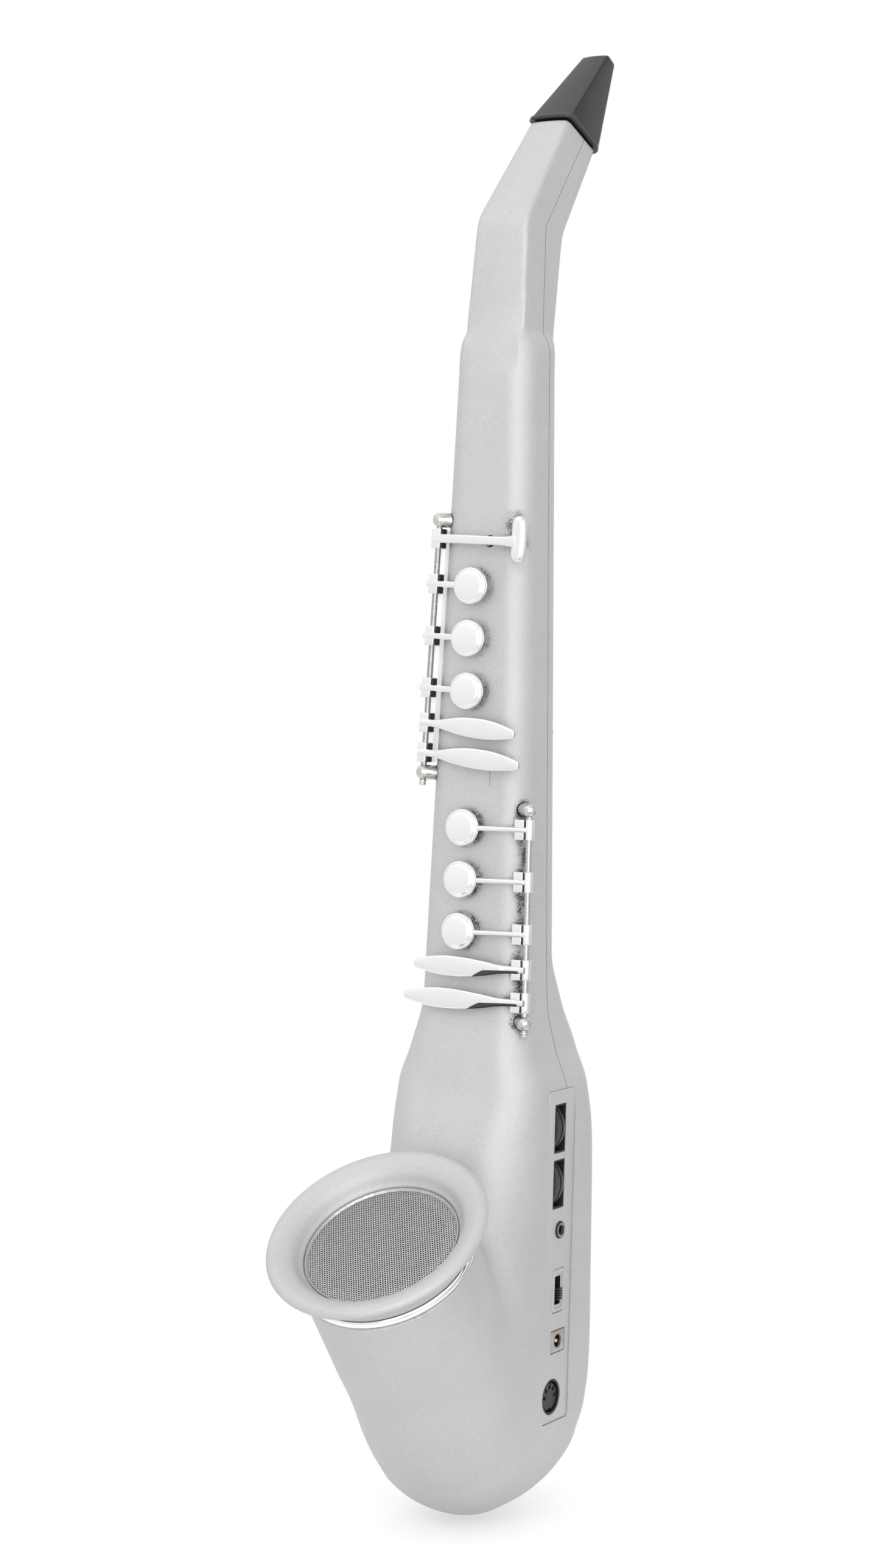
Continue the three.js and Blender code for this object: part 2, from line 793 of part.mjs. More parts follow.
// Touchpieces: where each key's block sits along its rod, and how far its pin stands from the rod.
const upperDiscs = upperDiscReaches.map((pin, i) => ({ at: upperDiscShares[i] * upperLength, pin }));
const lowerDiscs = lowerDiscReaches.map((pin, i) => ({ at: lowerDiscShares[i] * lowerLength, pin }));
const upperLeaves = upperLeafShares.map((share) => ({ at: share * upperLength, pin: leafPinReach }));
const lowerLeaves = lowerLeafShares.map((share) => ({ at: share * lowerLength, pin: leafPinReach }));
const teeAt = teeShare * upperLength;
const teeKeyPlace = { at: teeAt, pin: teePinReach };
const upperKeys = [...upperLeaves, ...upperDiscs, teeKeyPlace];
const lowerKeys = [...lowerDiscs, ...lowerLeaves];
const pinEnd = rodBehindFront - pinShort;

// Shapes at every key of both stacks, made in the stack's frame and set into the body's frame.
function atEachKey(make) {
  const upper = upperKeys.map((key) => placedBy(upperStack, make(key)));
  const lower = lowerKeys.map((key) => placedBy(lowerStack, make(key)));
  return [...upper, ...lower];
}

function keyHole({ at, pin }) {
  return bar([pin, -overrun, at], [pin, overrun, at], stemPinRadius + pinClear);
}

// Hinge posts stand square to the body's rounded corner.
const postDirection = new THREE.Vector3(rodOutward + stemFrontRound, stemFrontRound - rodBehindFront, 0)
  .normalize();

const domeShares = [[0, -1], [0.6, -0.8], [0.95, -0.3], [1, 0]];

function postProfile() {
  const points = domeShares.map(([out, back]) => [out * postRadius, back * postRadius]);
  return [...points, [postRadius, postLength], [0, postLength]];
}

function postSolid(at, boreEnds) {
  const body = solid(revolve(postProfile(), smallFacets)
    .applyQuaternion(turnFromZ(postDirection)).translate(0, 0, at));
  return body.subtract(pivotBore([0, 0, at + boreEnds[0]], [0, 0, at + boreEnds[1]], rodRadius));
}

function postHoles(stack, length) {
  return [0, length].map((at) => placedBy(stack, bar(
    postDirection.clone().multiplyScalar(postRadius / 2).setZ(at).toArray(),
    postDirection.clone().multiplyScalar(postLength + overrun).setZ(at).toArray(),
    postRadius + fit,
  )));
}

// Shells.
const keyBoardBottom = lowerBottom + keyBoardShort;
const keyBoardLength = upperTop + keyBoardPast - keyBoardBottom;
const panelLedgeX = panelInnerX - fit;
const panelCuts = [
  solid(panelPrism(fit, panelLedgeX, bowHalfWidth + overrun)),
  solid(panelPrism(-panelLedge, panelLedgeX - overrun, bowHalfWidth)),
  sideBar(midiRadius + fit * 2, panelLedgeX - overrun, bowHalfWidth, midiCentreY, midiHeight, roundFacets),
];
const panelFrame = solid(panelPrism(panelLedge, panelLedgeX - panelLedge, bowHalfWidth))
  .intersect(outerBody);

function keyBoardBosses() {
  return bossShares.flatMap((share) => [-1, 1].map((side) => {
    const up = keyBoardBottom + share * keyBoardLength - bowHeight;
    return placedBy(frontFace, bar([side * bossAcross, wall / 2, up],
      [side * bossAcross, keyBoardBehind - fit, up], bossRadius, finestFacets));
  }));
}

function frontShell() {
  const skin = cut(outerBody, [innerBody]).add(panelFrame);
  const shell = join([skin, ...keyBoardBosses()]);
  const holes = [
    ...atEachKey(keyHole), ...postHoles(upperStack, upperLength), ...postHoles(lowerStack, lowerLength),
  ];
  return cut(shell, [rearRegion(0), ...panelCuts, ...holes]);
}

// Battery bay: a tray built onto the rear shell, with a wide rim that carries the door.
function batteryTray() {
  const tray = solid(bayPrism(trayWall, bayFront - trayWall, bowBack));
  const rim = solid(bayPrism(doorMargin + trayWall, bowBack - doorRimDepth, bowBack));
  const bosses = boardBosses.map(([x, z]) => bar(
    [x, mainBoardY + boardThickness + fit, z],
    [x, bayFront - trayWall / 2, z],
    bossRadius,
  ));
  return join([tray, rim]).intersect(bodyLoft(wall / 2)).add(join(bosses));
}

function doorRecess() {
  return solid(bayPrism(doorMargin + fit, bowBack - doorRimDepth, bowBack + overrun))
    .subtract(bodyLoft(doorThickness + fit));
}

function batteryDoor() {
  const plate = solid(bayPrism(doorMargin, bowBack - doorRimDepth, bowBack + overrun));
  return plate.intersect(bodyLoft(0).subtract(bodyLoft(doorThickness)));
}

function backAt(height) {
  return bodyAt(height).back;
}

// Seats inside the rear shell for the breath sensor and the octave board.
function rearSeats() {
  const sensorBack = backAt(sensorHeight) - wall / 2;
  const sensor = box(sensorWidth / 2, sensorBack - sensorDepth / 2 - fit, sensorWidth / 2, 0,
    (sensorBack + sensorDepth / 2 + fit) / 2, sensorHeight);
  const octave = [-1, 1].map((side) => {
    const height = octaveBoardMiddle + side * octaveBossOffset;
    const back = backAt(height);
    const seat = back - octaveBoardBehind + fit;
    return bar([0, back - wall / 2, height], [0, seat, height], bossRadius, finestFacets);
  });
  return [sensor, ...octave];
}

// Two lugs on the back for each octave key's hinge pin.
function octaveLugs(height) {
  const back = backAt(height);
  const pinY = back + lugReach / 2;
  const across = octaveWidth / 2 + fit + lugThickness / 2;
  const bore = pivotBore([-bowHalfWidth, pinY, height], [bowHalfWidth, pinY, height], trunnionRadius);
  return [-1, 1].map((side) =>
    box(lugThickness, lugReach * 2, lugHeight, side * across, back, height).subtract(bore));
}

function rearShell() {
  const skin = cut(outerBody, [innerBody]).add(panelFrame);
  const hinges = octaveHinges.flatMap(octaveLugs);
  const shell = join([skin.intersect(rearRegion(seamGap)), batteryTray(), ...rearSeats(), ...hinges]);
  const pinHoles = octaveHinges.map((height) => octavePinHole(height));
  const bay = solid(bayPrism(0, bayFront, bowBack + overrun));
  return cut(shell, [doorRecess(), bay, ...pinHoles, ...panelCuts]);
}

// Socket panel: a flat plate with windows for the wheels, holes for the sockets, and two posts behind it.
function windowCut(height) {
  return box(overrun * 2, windowWidth, windowHeight, panelOuterX, windowCentreY, height);
}

function sideBar(radius, fromX, toX, y, z, facets = smallFacets) {
  return bar([fromX, y, z], [toX, y, z], radius, facets);
}

const componentX = jackBoardX + fit;
const behindPanelX = panelInnerX - fit;
const faceX = panelOuterX;

function sidePanel() {
  const plate = solid(panelPrism(0, panelInnerX, panelOuterX));
  const posts = panelPostHeights.map((height) =>
    sideBar(bossRadius, componentX, panelOuterX - fit, 0, height));
  return cut(join([plate, ...posts]), [
    windowCut(wheelHeightUpper),
    windowCut(wheelHeightLower),
    sideBar(phonesRadius + fit, panelInnerX - overrun, faceX + overrun, 0, phonesHeight, roundFacets),
    box(overrun * 2, switchFrameWidth + fit * 2, switchFrameHeight + fit * 2, panelOuterX, 0, switchHeight),
    box(overrun * 2, dcWidth + fit * 2, dcTall + fit * 2, panelOuterX, dcCentreY, dcHeight),
    sideBar(midiRadius + fit, panelInnerX - overrun, faceX + overrun, midiCentreY, midiHeight, roundFacets),
  ]);
}

function phonesJack() {
  const bodyLength = behindPanelX - componentX;
  const middle = componentX + bodyLength / 2;
  const body = box(bodyLength, phonesBodyWidth, phonesBodyHeight, middle, 0, phonesHeight);
  const nose = sideBar(phonesRadius, behindPanelX - fit, faceX + phonesProud, 0, phonesHeight, roundFacets);
  const bore = sideBar(phonesBore, faceX - phonesBoreDepth, faceX + overrun, 0, phonesHeight);
  return join([body, nose]).subtract(bore);
}

function switchCase() {
  const bodyLength = faceX + switchProud - componentX;
  const middle = componentX + bodyLength / 2;
  const body = box(bodyLength, switchFrameWidth, switchFrameHeight, middle, 0, switchHeight);
  const slot = box(switchDepth * 2, switchSlotWidth, switchSlotHeight, faceX + switchProud, 0, switchHeight);
  return body.subtract(slot);
}

// The knob's base slides in the case's slot, and its five ribs stand above it.
function switchKnob() {
  const bottom = faceX + switchProud - switchDepth + rodClear;
  const base = box(knobBaseHeight, switchSlotWidth - rodClear * 2, knobLength, bottom + knobBaseHeight / 2);
  const ribPitch = (knobLength - knobRib) / (knobRibs - 1);
  const ribX = bottom + knobBaseHeight + (knobRibRise - fit) / 2;
  const ribs = Array.from({ length: knobRibs }, (_, i) => {
    const up = (i - (knobRibs - 1) / 2) * ribPitch;
    return box(knobRibRise + fit, switchSlotWidth - fit * 2, knobRib, ribX, 0, up);
  });
  return join([base, ...ribs]);
}

function dcJack() {
  const bodyLength = faceX - componentX;
  const body = box(bodyLength, dcWidth, dcTall, componentX + bodyLength / 2, dcCentreY, dcHeight);
  const bore = sideBar(dcBore, faceX - dcDepth, faceX + overrun, dcCentreY, dcHeight, roundFacets);
  const pin = sideBar(dcPin, faceX - dcDepth - fit, faceX - dcPinBack, dcCentreY, dcHeight);
  return body.subtract(bore).add(pin);
}

// A round five-pole socket: a ring slot for the plug's shell, and pin holes on an arc.
const midiPinTurns = [90, 45, 135, 0, 180];

function midiSocket() {
  const body = sideBar(midiRadius, componentX, faceX, midiCentreY, midiHeight, roundFacets);
  const slotOuter = sideBar(midiShellRadius, faceX - midiShellDepth, faceX + overrun,
    midiCentreY, midiHeight, roundFacets);
  const slotInner = sideBar(midiShellRadius - midiShellSlot, faceX - midiShellDepth * 2, faceX - midiFaceBack,
    midiCentreY, midiHeight, roundFacets);
  const holes = midiPinTurns.map((turn) => {
    const angle = THREE.MathUtils.degToRad(turn);
    const y = midiCentreY + midiPinCircle * Math.cos(angle);
    const z = midiHeight + midiPinCircle * Math.sin(angle);
    return sideBar(midiPinRadius, faceX - midiShellDepth, faceX + overrun, y, z, finestFacets);
  });
  return cut(body, [slotOuter.subtract(slotInner), ...holes]);
}

// Thumbwheels turn about Y on their pots' shafts.
const wheelX = faceX + wheelProud - wheelRadius;

function wheelSolid() {
  const half = wheelThickness / 2;
  const rim = wheelRadius - wheelChamfer;
  const floor = wheelRadius - wheelGroove;
  const profile = [
    [0, -half], [rim, -half], [wheelRadius, wheelChamfer - half], [wheelRadius, -wheelChannel - wheelChamfer],
    [floor, -wheelChannel], [floor, wheelChannel], [wheelRadius, wheelChannel + wheelChamfer],
    [wheelRadius, half - wheelChamfer], [rim, half], [0, half],
  ];
  const wheel = solid(revolve(profile, roundFacets).rotateX(Math.PI / 2));
  return wheel.add(pivotPin([0, 0, 0], [0, half + potGap + wheelShaftDepth - fit, 0], wheelShaft));
}

function potSolid() {
  const front = windowCentreY + wheelThickness / 2 + potGap;
  const body = box(potSide, potDepth, potSide, componentX + potSide / 2, front + potDepth / 2);
  return body.subtract(pivotBore([wheelX, front - fit, 0], [wheelX, front + wheelShaftDepth, 0], wheelShaft));
}

function jackBoard() {
  const width = panelFront + panelBack;
  const board = box(boardThickness, width, panelTop - panelBottom, jackBoardX - boardThickness / 2,
    (panelBack - panelFront) / 2, (panelTop + panelBottom) / 2 + panelLedge);
  const slotWidth = wheelThickness + fit * 4;
  const slots = [wheelHeightUpper, wheelHeightLower].map((height) =>
    box(boardThickness * 2, slotWidth, (wheelRadius + fit) * 2, jackBoardX, windowCentreY, height));
  return cut(board, slots);
}

// Bell: a rolled lip over a throat that drops into the tube, with a ledge for the grille.
const throatOuter = tubeRadius - tubeWall - fit;
const throatInner = speakerRadius + fit;
const bellFoot = lipToTube - ringHeight - fit;
const ledgeDepth = grilleDepth + grilleThickness + fit;
const lipShares = [
  [0.727, 0.44], [0.78, 0.15], [0.87, -0.04], [0.92, -0.09], [0.98, -0.045],
  [1, 0.07], [0.985, 0.19], [0.91, 0.33], [0.835, 0.58], [0.79, 0.88],
];

function bell() {
  const lip = lipShares.map(([out, down]) => [out * lipRadius, -down * bellFoot]);
  const profile = [
    [throatInner, -throatDepth], [throatInner, -ledgeDepth], [throatOuter, -ledgeDepth],
    [throatOuter, fit - grilleDepth], ...lip, [tubeRadius + ringProud / 2, -bellFoot],
    [throatOuter, -bellFoot], [throatOuter, -throatDepth],
  ];
  return ringOnBell(profile);
}

// A closed profile of [radius, height above the lip plane] turned about the bell's axis.
function ringOnBell(profile, facets = bellFacets) {
  return solid(onBellAxis(revolve([...profile].reverse().concat([profile[profile.length - 1]]), facets), 0));
}

// The ring's profile as shares of how far it stands proud and of its height.
const ringShares = [[-1, 0], [0, 0.25], [0, 0.75], [-1, 1]];

function bellRing() {
  const top = -bellFoot - fit;
  const inner = tubeRadius - tubeWall;
  const face = ringShares.map(([out, down]) => [tubeTopRadius + out * ringProud, top - down * ringHeight]);
  return ringOnBell([[inner, top], ...face, [inner, top - ringHeight]]);
}

function grille() {
  const disc = cylinder(grilleRadius, grilleThickness, bellFacets);
  const reach = grilleRadius - grilleRim - grilleHoleRadius;
  const rowPitch = grillePitch * Math.sqrt(3) / 2;
  const rows = Math.floor(reach / rowPitch);
  const holes = [];
  for (let row = -rows; row <= rows; row += 1) {
    const y = row * rowPitch;
    const shift = row % 2 ? grillePitch / 2 : 0;
    for (let x = -Math.ceil(reach / grillePitch) * grillePitch + shift; x <= reach; x += grillePitch) {
      if (Math.hypot(x, y) > reach) continue;
      const hole = cylinder(grilleHoleRadius, grilleThickness * 3, grilleHoleSides);
      holes.push(solid(hole.translate(x, y, -grilleThickness)));
    }
  }
  const plate = solid(disc).subtract(join(holes));
  return placedOnBell(plate, grilleDepth + grilleThickness);
}

const bellFrame = new THREE.Group();
bellFrame.rotation.x = THREE.MathUtils.degToRad(bellLean);
bellFrame.position.set(0, -bellForward, bellHeight);
bellFrame.updateMatrixWorld(true);

function placedOnBell(shape, depth) {
  return placedBy(bellFrame, shape.translate([0, 0, -depth]));
}

// Loudspeaker: a basket that narrows to the magnet, and a cone that hangs in it.
const speakerTop = -ledgeDepth - fit;

function speakerFrame() {
  const foot = speakerTop - speakerDepth;
  return ringOnBell([
    [magnetRadius, foot], [voiceRadius, foot],
    [voiceRadius, foot + sheet], [magnetRadius - sheet, foot + sheet],
    [speakerRadius - coneRim, speakerTop - speakerRimDepth], [speakerRadius - coneRim, speakerTop],
    [speakerRadius, speakerTop], [speakerRadius, speakerTop - speakerRimDepth],
    [speakerRadius - coneRim + sheet, speakerTop - speakerRimDepth - sheet],
  ], roundFacets);
}

// The cone's profile as shares of its radius and of the basket's depth.
const coneShares = [[1, 0.04], [0.94, 0.08], [0.88, 0.05], [0.3, 0.68], [0.2, 0.62], [0, 0.56]];

function speakerCone() {
  const outer = speakerRadius - coneRim - fit;
  const profile = coneShares.map(([out, down]) => [out * outer, speakerTop - down * speakerDepth]);
  const under = [...profile].reverse().map(([radius, height]) => [radius, height - coneSheet]);
  return solid(onBellAxis(revolve([...under, ...profile], roundFacets), 0));
}

function speakerMagnet() {
  const start = speakerDepth + fit - speakerTop;
  return tubeSolid(magnetRadius, start, start + magnetHeight);
}

// Mouthpiece: a flattened beak on a collar, with a spigot in the neck and an air bore right through.
// Each row of beakRounds is a share of the way to the tip and the corners' round there.
const beakRounds = [[0, 4], [0.3, 3.4], [0.7, 2.4], [1, 1.6]];
const boreEndShare = 1.1;

function mouthStation(share) {
  const foot = pastNeckTop(fit + collarGap);
  const grown = { ...foot, halfWidth: neckTopHalfWidth + collarProud };
  const { front, back } = pastNeckTop(0);
  const tip = neckStation(mouthTipHalfWidth, [front[0] + mouthFrontRun, front[1] + mouthFrontRise],
    [back[0] + mouthBackRun, back[1] + mouthBackRise]);
  return between(grown, tip, share);
}

function mouthpiece() {
  const beak = solid(loft(beakRounds.map(([along, round]) =>
    leaningRing(mouthStation(along), 0, round, round))));
  const collar = solid(loft([0, collarHeight].map((up) => leaningRing(
    pastNeckTop(fit + collarGap + up), -collarProud, neckFrontRound, neckBackRound))));
  const spigot = solid(loft([-spigotDepth, fit + collarGap + collarHeight / 2].map((up) => leaningRing(
    pastNeckTop(up), wall + fit, neckFrontRound, neckBackRound))));
  const start = middleOf(pastNeckTop(-spigotDepth - overrun));
  const end = middleOf(mouthStation(boreEndShare));
  return join([beak, collar, spigot]).subtract(bar(start, end, airBore));
}

function middleOf({ front, back }) {
  return [0, (front[0] + back[0]) / 2, (front[1] + back[1]) / 2];
}

// The breath tube runs from the spigot down the neck onto the sensor's nipple.
function breathTube() {
  const stations = neckStations();
  const route = [
    [0, 0, sensorHeight + sensorLength / 2 + fit],
    [0, 0, sensorHeight + sensorLength / 2 + nippleLength + fit * 2],
    middleOf(stations[1]),
    middleOf(stations[3]),
    middleOf(stations[4]),
    middleOf(stations[5]),
    middleOf(pastNeckTop(-spigotDepth - fit * 4)),
  ].map((point) => new THREE.Vector3(...point));
  const side = new THREE.Vector3(1, 0, 0);
  const bore = [...route];
  bore[0] = route[0].clone().setZ(route[0].z - overrun);
  bore.push(new THREE.Vector3(...middleOf(pastNeckTop(0))));
  return pipe(route, breathTubeRadius, side).subtract(pipe(bore, breathTubeBore, side));
}

function breathSensor() {
  const top = sensorHeight + sensorLength / 2;
  const body = box(sensorWidth, sensorDepth, sensorLength, 0, 0, sensorHeight);
  return body.add(bar([0, 0, top - fit], [0, 0, top + nippleLength], nippleRadius, finestFacets));
}

// Circuit boards.
function keyBoard() {
  const middle = keyBoardBottom + keyBoardLength / 2 - bowHeight;
  const behind = keyBoardBehind + boardThickness / 2;
  return placedBy(frontFace, box(keyBoardWidth, boardThickness, keyBoardLength, 0, behind, middle));
}

function keyContacts() {
  const length = keyBoardLength - overrun;
  const face = keyBoardBehind - fit - contactStripThickness;
  const strip = placedBy(frontFace, box(contactStripWidth, contactStripThickness, length, 0,
    face + contactStripThickness / 2, keyBoardBottom + length / 2 - bowHeight));
  const domeFoot = keyBoardBehind - rodBehindFront - fit * 2;
  const domes = atEachKey(({ at, pin }) => bar([pin, domeFoot, at], [pin, pinEnd + keyTravel + fit, at],
    domeRadius, finestFacets));
  return join([strip, ...domes]);
}

function mainBoard() {
  const length = mainBoardTop - mainBoardBottom;
  return box(mainBoardWidth, boardThickness, length, 0, mainBoardY + boardThickness / 2,
    mainBoardBottom + length / 2);
}

function octaveBoard() {
  const face = backAt(octaveBoardMiddle) - octaveBoardBehind;
  const board = box(octaveBoardWidth, boardThickness, octaveBoardLength, 0, face - boardThickness / 2,
    octaveBoardMiddle);
  const domes = octaveHinges.map((height) => {
    const top = backAt(height) - octavePinEnd - octaveTravel - fit;
    const up = height + octavePinUp;
    return bar([0, face - fit, up], [0, top, up], octavePinRadius * 2, finestFacets);
  });
  return join([board, ...domes]);
}

// Batteries: six round cells in two rows, with a contact plate at each end.
function batteryCell() {
  const nub = cellRadius / 3;
  const step = cellLength - cellNub;
  return solid(revolve([
    [0, 0], [cellRadius - cellNub, 0], [cellRadius, cellNub], [cellRadius, step - cellNub],
    [cellRadius - cellNub, step], [nub, step], [nub, cellLength], [0, cellLength],
  ], smallFacets));
}

const columns = [-1, 0, 1];

function batteryContacts(sign) {
  const plate = box((bayHalfWidth - trayWall) * 2, (cellRadius - fit * 2) * 2, contactThickness);
  const bumps = columns.map((column) => {
    const x = column * cellPitch;
    return bar([x, 0, 0], [x, 0, sign * contactReach], cellRadius / 2, finestFacets);
  });
  return join([plate, ...bumps]);
}

// Key levers, each about its own place on the rod: Z along the rod, X to the touchpiece, -Y forward.
function hub() {
  const barrel = bar([0, 0, -blockHeight / 2], [0, 0, blockHeight / 2], barrelRadius);
  const flange = box(flangeReach, flangeThickness, blockHeight, flangeReach / 2, -flangeForward, 0);
  return barrel.add(flange);
}

function bored(shape) {
  return shape.subtract(pivotBore([0, 0, -blockHeight], [0, 0, blockHeight], rodRadius));
}

const armStart = [flangeReach / 3, -flangeForward, 0];

function discLever(reach) {
  const middle = discThickness / 2 - discLift;
  const profile = [
    [0, 0], [discRadius - discEdge, 0], [discRadius, discEdge], [discRadius - discEdge, discThickness],
    [discRadius - discRim - discDish, discThickness - discDish], [0, discThickness - discDish / 3],
  ];
  const disc = solid(forwards(revolve(profile)).translate(reach, discThickness - discLift, 0));
  const arm = bar(armStart, [reach - discRadius / 2, middle, 0], armRadius, finestFacets);
  const pin = bar([reach, middle, 0], [reach, pinEnd, 0], stemPinRadius);
  return bored(join([hub(), disc, arm, pin]));
}

// The leaf's edge as shares of its length and of its half width.
const leafStartShare = 0.24;
const leafShares = [
  [0, 0.3], [0.2, 0.42], [0.4, 0.78], [0.58, 1], [0.72, 0.98], [0.86, 0.72], [0.95, 0.36], [1, 0],
];

function leafLever(reach, droop) {
  const start = leafStartShare * reach;
  const edge = (side) => leafShares.map(([along, half]) => [
    blend(start, reach, along),
    side * half * leafWidth / 2 - along * along * droop,
  ]);
  const blade = solid(forwards(prism(outline([...edge(1), ...edge(-1).reverse().slice(1)]), leafThickness))
    .translate(0, leafThickness - leafLift, 0));
  const middle = leafThickness / 2 - leafLift;
  const arm = bar(armStart, [start + leafWidth, middle, 0], armRadius);
  const pin = bar([leafPinReach, middle, 0], [leafPinReach, pinEnd, 0], stemPinRadius);
  return bored(join([hub(), blade, arm, pin]));
}

// The underside of the cross bar's arm as shares of its reach and of its rise.
const teeArmShares = [[0.05, 0.12], [0.3, 0.62], [0.5, 0.74], [1, 0.8]];

function teeLever() {
  const underside = teeArmShares.map(([along, forward]) => [along * teeReach, -forward * leafLift]);
  const topside = [...underside].reverse().map(([x, y]) => [x, y - teeArmThickness]);
  const arm = solid(prism(outline([...underside, ...topside]), teeArmHeight)
    .translate(0, 0, -teeArmHeight / 2));
  const barShape = roundedOutline(teeBarWidth, teeBarLength, teeBarRound);
  const crossBar = solid(forwards(prism(barShape, teeBarThickness))
    .translate(teeReach, teeBarThickness / 2 - leafLift, 0));
  const pin = bar([teePinReach, -leafLift, 0], [teePinReach, pinEnd, 0], stemPinRadius);
  return bored(join([hub(), arm, crossBar, pin]));
}

function hingeRod(length, screwAtStart) {
  const screw = screwAtStart ? -1 : 1;
  const end = screwAtStart ? 0 : length;
  const tip = end + screw * rodScrew;
  const rod = pivotPin([0, 0, length - end - screw * rodEnd], [0, 0, tip], rodRadius);
  const head = bar([0, 0, end + screw * (postRadius + fit)], [0, 0, tip], rodRadius + fit);
  return rod.add(head);
}

function upperRail() {
  const bottom = upperLeaves[0].at - blockHeight / 2;
  const top = teeAt + blockHeight / 2 - fit;
  return box(railWidth, railDepth, top - bottom, 0, railBehindRod, (top + bottom) / 2);
}

// Back of the stem: octave keys on pins, a thumb hook, and a strap ring on an eye.
function octavePinHole(height) {
  const back = backAt(height);
  const up = height + octavePinUp;
  return bar([0, back - wall * 2, up], [0, back + wall, up], octavePinRadius + pinClear);
}

// The octave key's side outline as shares of its rise and of its length.
const octaveShares = [
  [0.34, -0.12], [0.8, -0.12], [1.3, 0.4], [1.36, 0.86], [1.2, 0.94], [0.9, 0.94], [0.82, 0.7], [0.34, 0.1],
];

function octaveKey() {
  const points = octaveShares.map(([rise, up]) => [rise * octaveRise - lugReach / 2, up * octaveLength]);
  const plate = solid(sideways(prism(outline(points), octaveWidth)).translate(-octaveWidth / 2, 0, 0));
  const across = octaveWidth / 2 + fit + lugThickness;
  const trunnion = pivotPin([-across, 0, 0], [across, 0, 0], trunnionRadius);
  const pinFoot = -octavePinEnd - lugReach / 2;
  const pin = bar([0, octaveRise / 2, octavePinUp], [0, pinFoot, octavePinUp], octavePinRadius);
  return join([plate, trunnion, pin]);
}

// The hook's side outline as shares of its reach.
const hookShares = [
  [0, -0.6], [0.14, -0.6], [0.14, -0.2], [0.9, -0.34], [1, -0.24],
  [0.98, -0.14], [0.3, 0.02], [0.14, 0.1], [0.14, 0.6], [0, 0.6],
];

function thumbHook() {
  const points = hookShares.map(([out, up]) => [out * hookReach, up * hookReach]);
  const hook = solid(sideways(prism(outline(points), hookWidth)).translate(-hookWidth / 2, 0, 0));
  return hook.translate([0, backAt(hookHeight) + fit, hookHeight]);
}

const strapY = backAt(strapHeight) + fit + strapPlateThickness + strapEyeRadius;

function strapEye() {
  const plateY = backAt(strapHeight) + fit + strapPlateThickness / 2;
  const webY = strapY - strapEyeRadius / 2;
  const half = strapEyeThickness / 2;
  const plate = box(strapPlateWidth, strapPlateThickness, strapPlateHeight, 0, plateY, strapHeight);
  const eye = bar([-half, strapY, strapHeight], [half, strapY, strapHeight], strapEyeRadius);
  const web = box(strapEyeThickness, strapEyeRadius, strapEyeRadius * 2, 0, webY, strapHeight);
  const hole = pivotBore([-half * 2, strapY, strapHeight], [half * 2, strapY, strapHeight], strapWire);
  return join([plate, eye, web]).subtract(hole);
}

function strapRing() {
  const steps = roundFacets / 2;
  const route = Array.from({ length: steps + 1 }, (_, i) => {
    const turn = Math.PI * (1 + i / steps);
    return new THREE.Vector3(strapRingRadius * Math.cos(turn), 0, strapRingRadius * Math.sin(turn));
  });
  const bow = pipe(route, strapWire, new THREE.Vector3(0, 1, 0), finestFacets);
  const reach = strapRingRadius + strapWire;
  return bow.add(pivotPin([-reach, 0, 0], [reach, 0, 0], strapWire));
}

// Assembly.
const group = new THREE.Group();
group.name = 'digital_wind_controller';
const horn = new THREE.Group();
horn.name = 'horn';
horn.position.set(0, -strapY, -strapHeight);
group.add(horn);

function addPart(parent, name, shape, look, place = [0, 0, 0]) {
  const mesh = new THREE.Mesh(geometryOf(shape), new THREE.MeshStandardMaterial(look));
  mesh.name = name;
  mesh.position.set(...place);
  parent.add(mesh);
  return mesh;
}

horn.add(upperStack, lowerStack);
addPart(horn, 'front_shell', frontShell(), paint);
addPart(horn, 'rear_shell', rearShell(), paint);
addPart(horn, 'side_panel', sidePanel(), darkPlastic);
addPart(horn, 'bell', bell(), paint);
addPart(horn, 'bell_ring', bellRing(), chrome);
addPart(horn, 'grille', grille(), chrome);
addPart(horn, 'speaker_frame', speakerFrame(), steel);
addPart(horn, 'speaker_cone', speakerCone(), paper);
addPart(horn, 'speaker_magnet', speakerMagnet(), steel);
addPart(horn, 'mouthpiece', mouthpiece(), darkPlastic);
addPart(horn, 'breath_tube', breathTube(), rubber);
addPart(horn, 'breath_sensor', breathSensor(), blackPlastic);
addPart(horn, 'key_board', keyBoard(), circuitBoard);
addPart(horn, 'key_contacts', keyContacts(), rubber);
addPart(horn, 'main_board', mainBoard(), circuitBoard);
addPart(horn, 'jack_board', jackBoard(), circuitBoard);
addPart(horn, 'octave_board', octaveBoard(), circuitBoard);
addPart(horn, 'phones_jack', phonesJack(), blackPlastic);
addPart(horn, 'power_switch_case', switchCase(), blackPlastic);
addPart(horn, 'power_switch_knob', switchKnob(), blackPlastic, [0, 0, knobHeight]);
addPart(horn, 'dc_jack', dcJack(), blackPlastic);
addPart(horn, 'midi_socket', midiSocket(), blackPlastic);
addPart(horn, 'volume_pot', potSolid(), steel, [0, 0, wheelHeightUpper]);
addPart(horn, 'tuning_pot', potSolid(), steel, [0, 0, wheelHeightLower]);
addPart(horn, 'volume_wheel', wheelSolid(), blackPlastic, [wheelX, windowCentreY, wheelHeightUpper]);
addPart(horn, 'tuning_wheel', wheelSolid(), blackPlastic, [wheelX, windowCentreY, wheelHeightLower]);

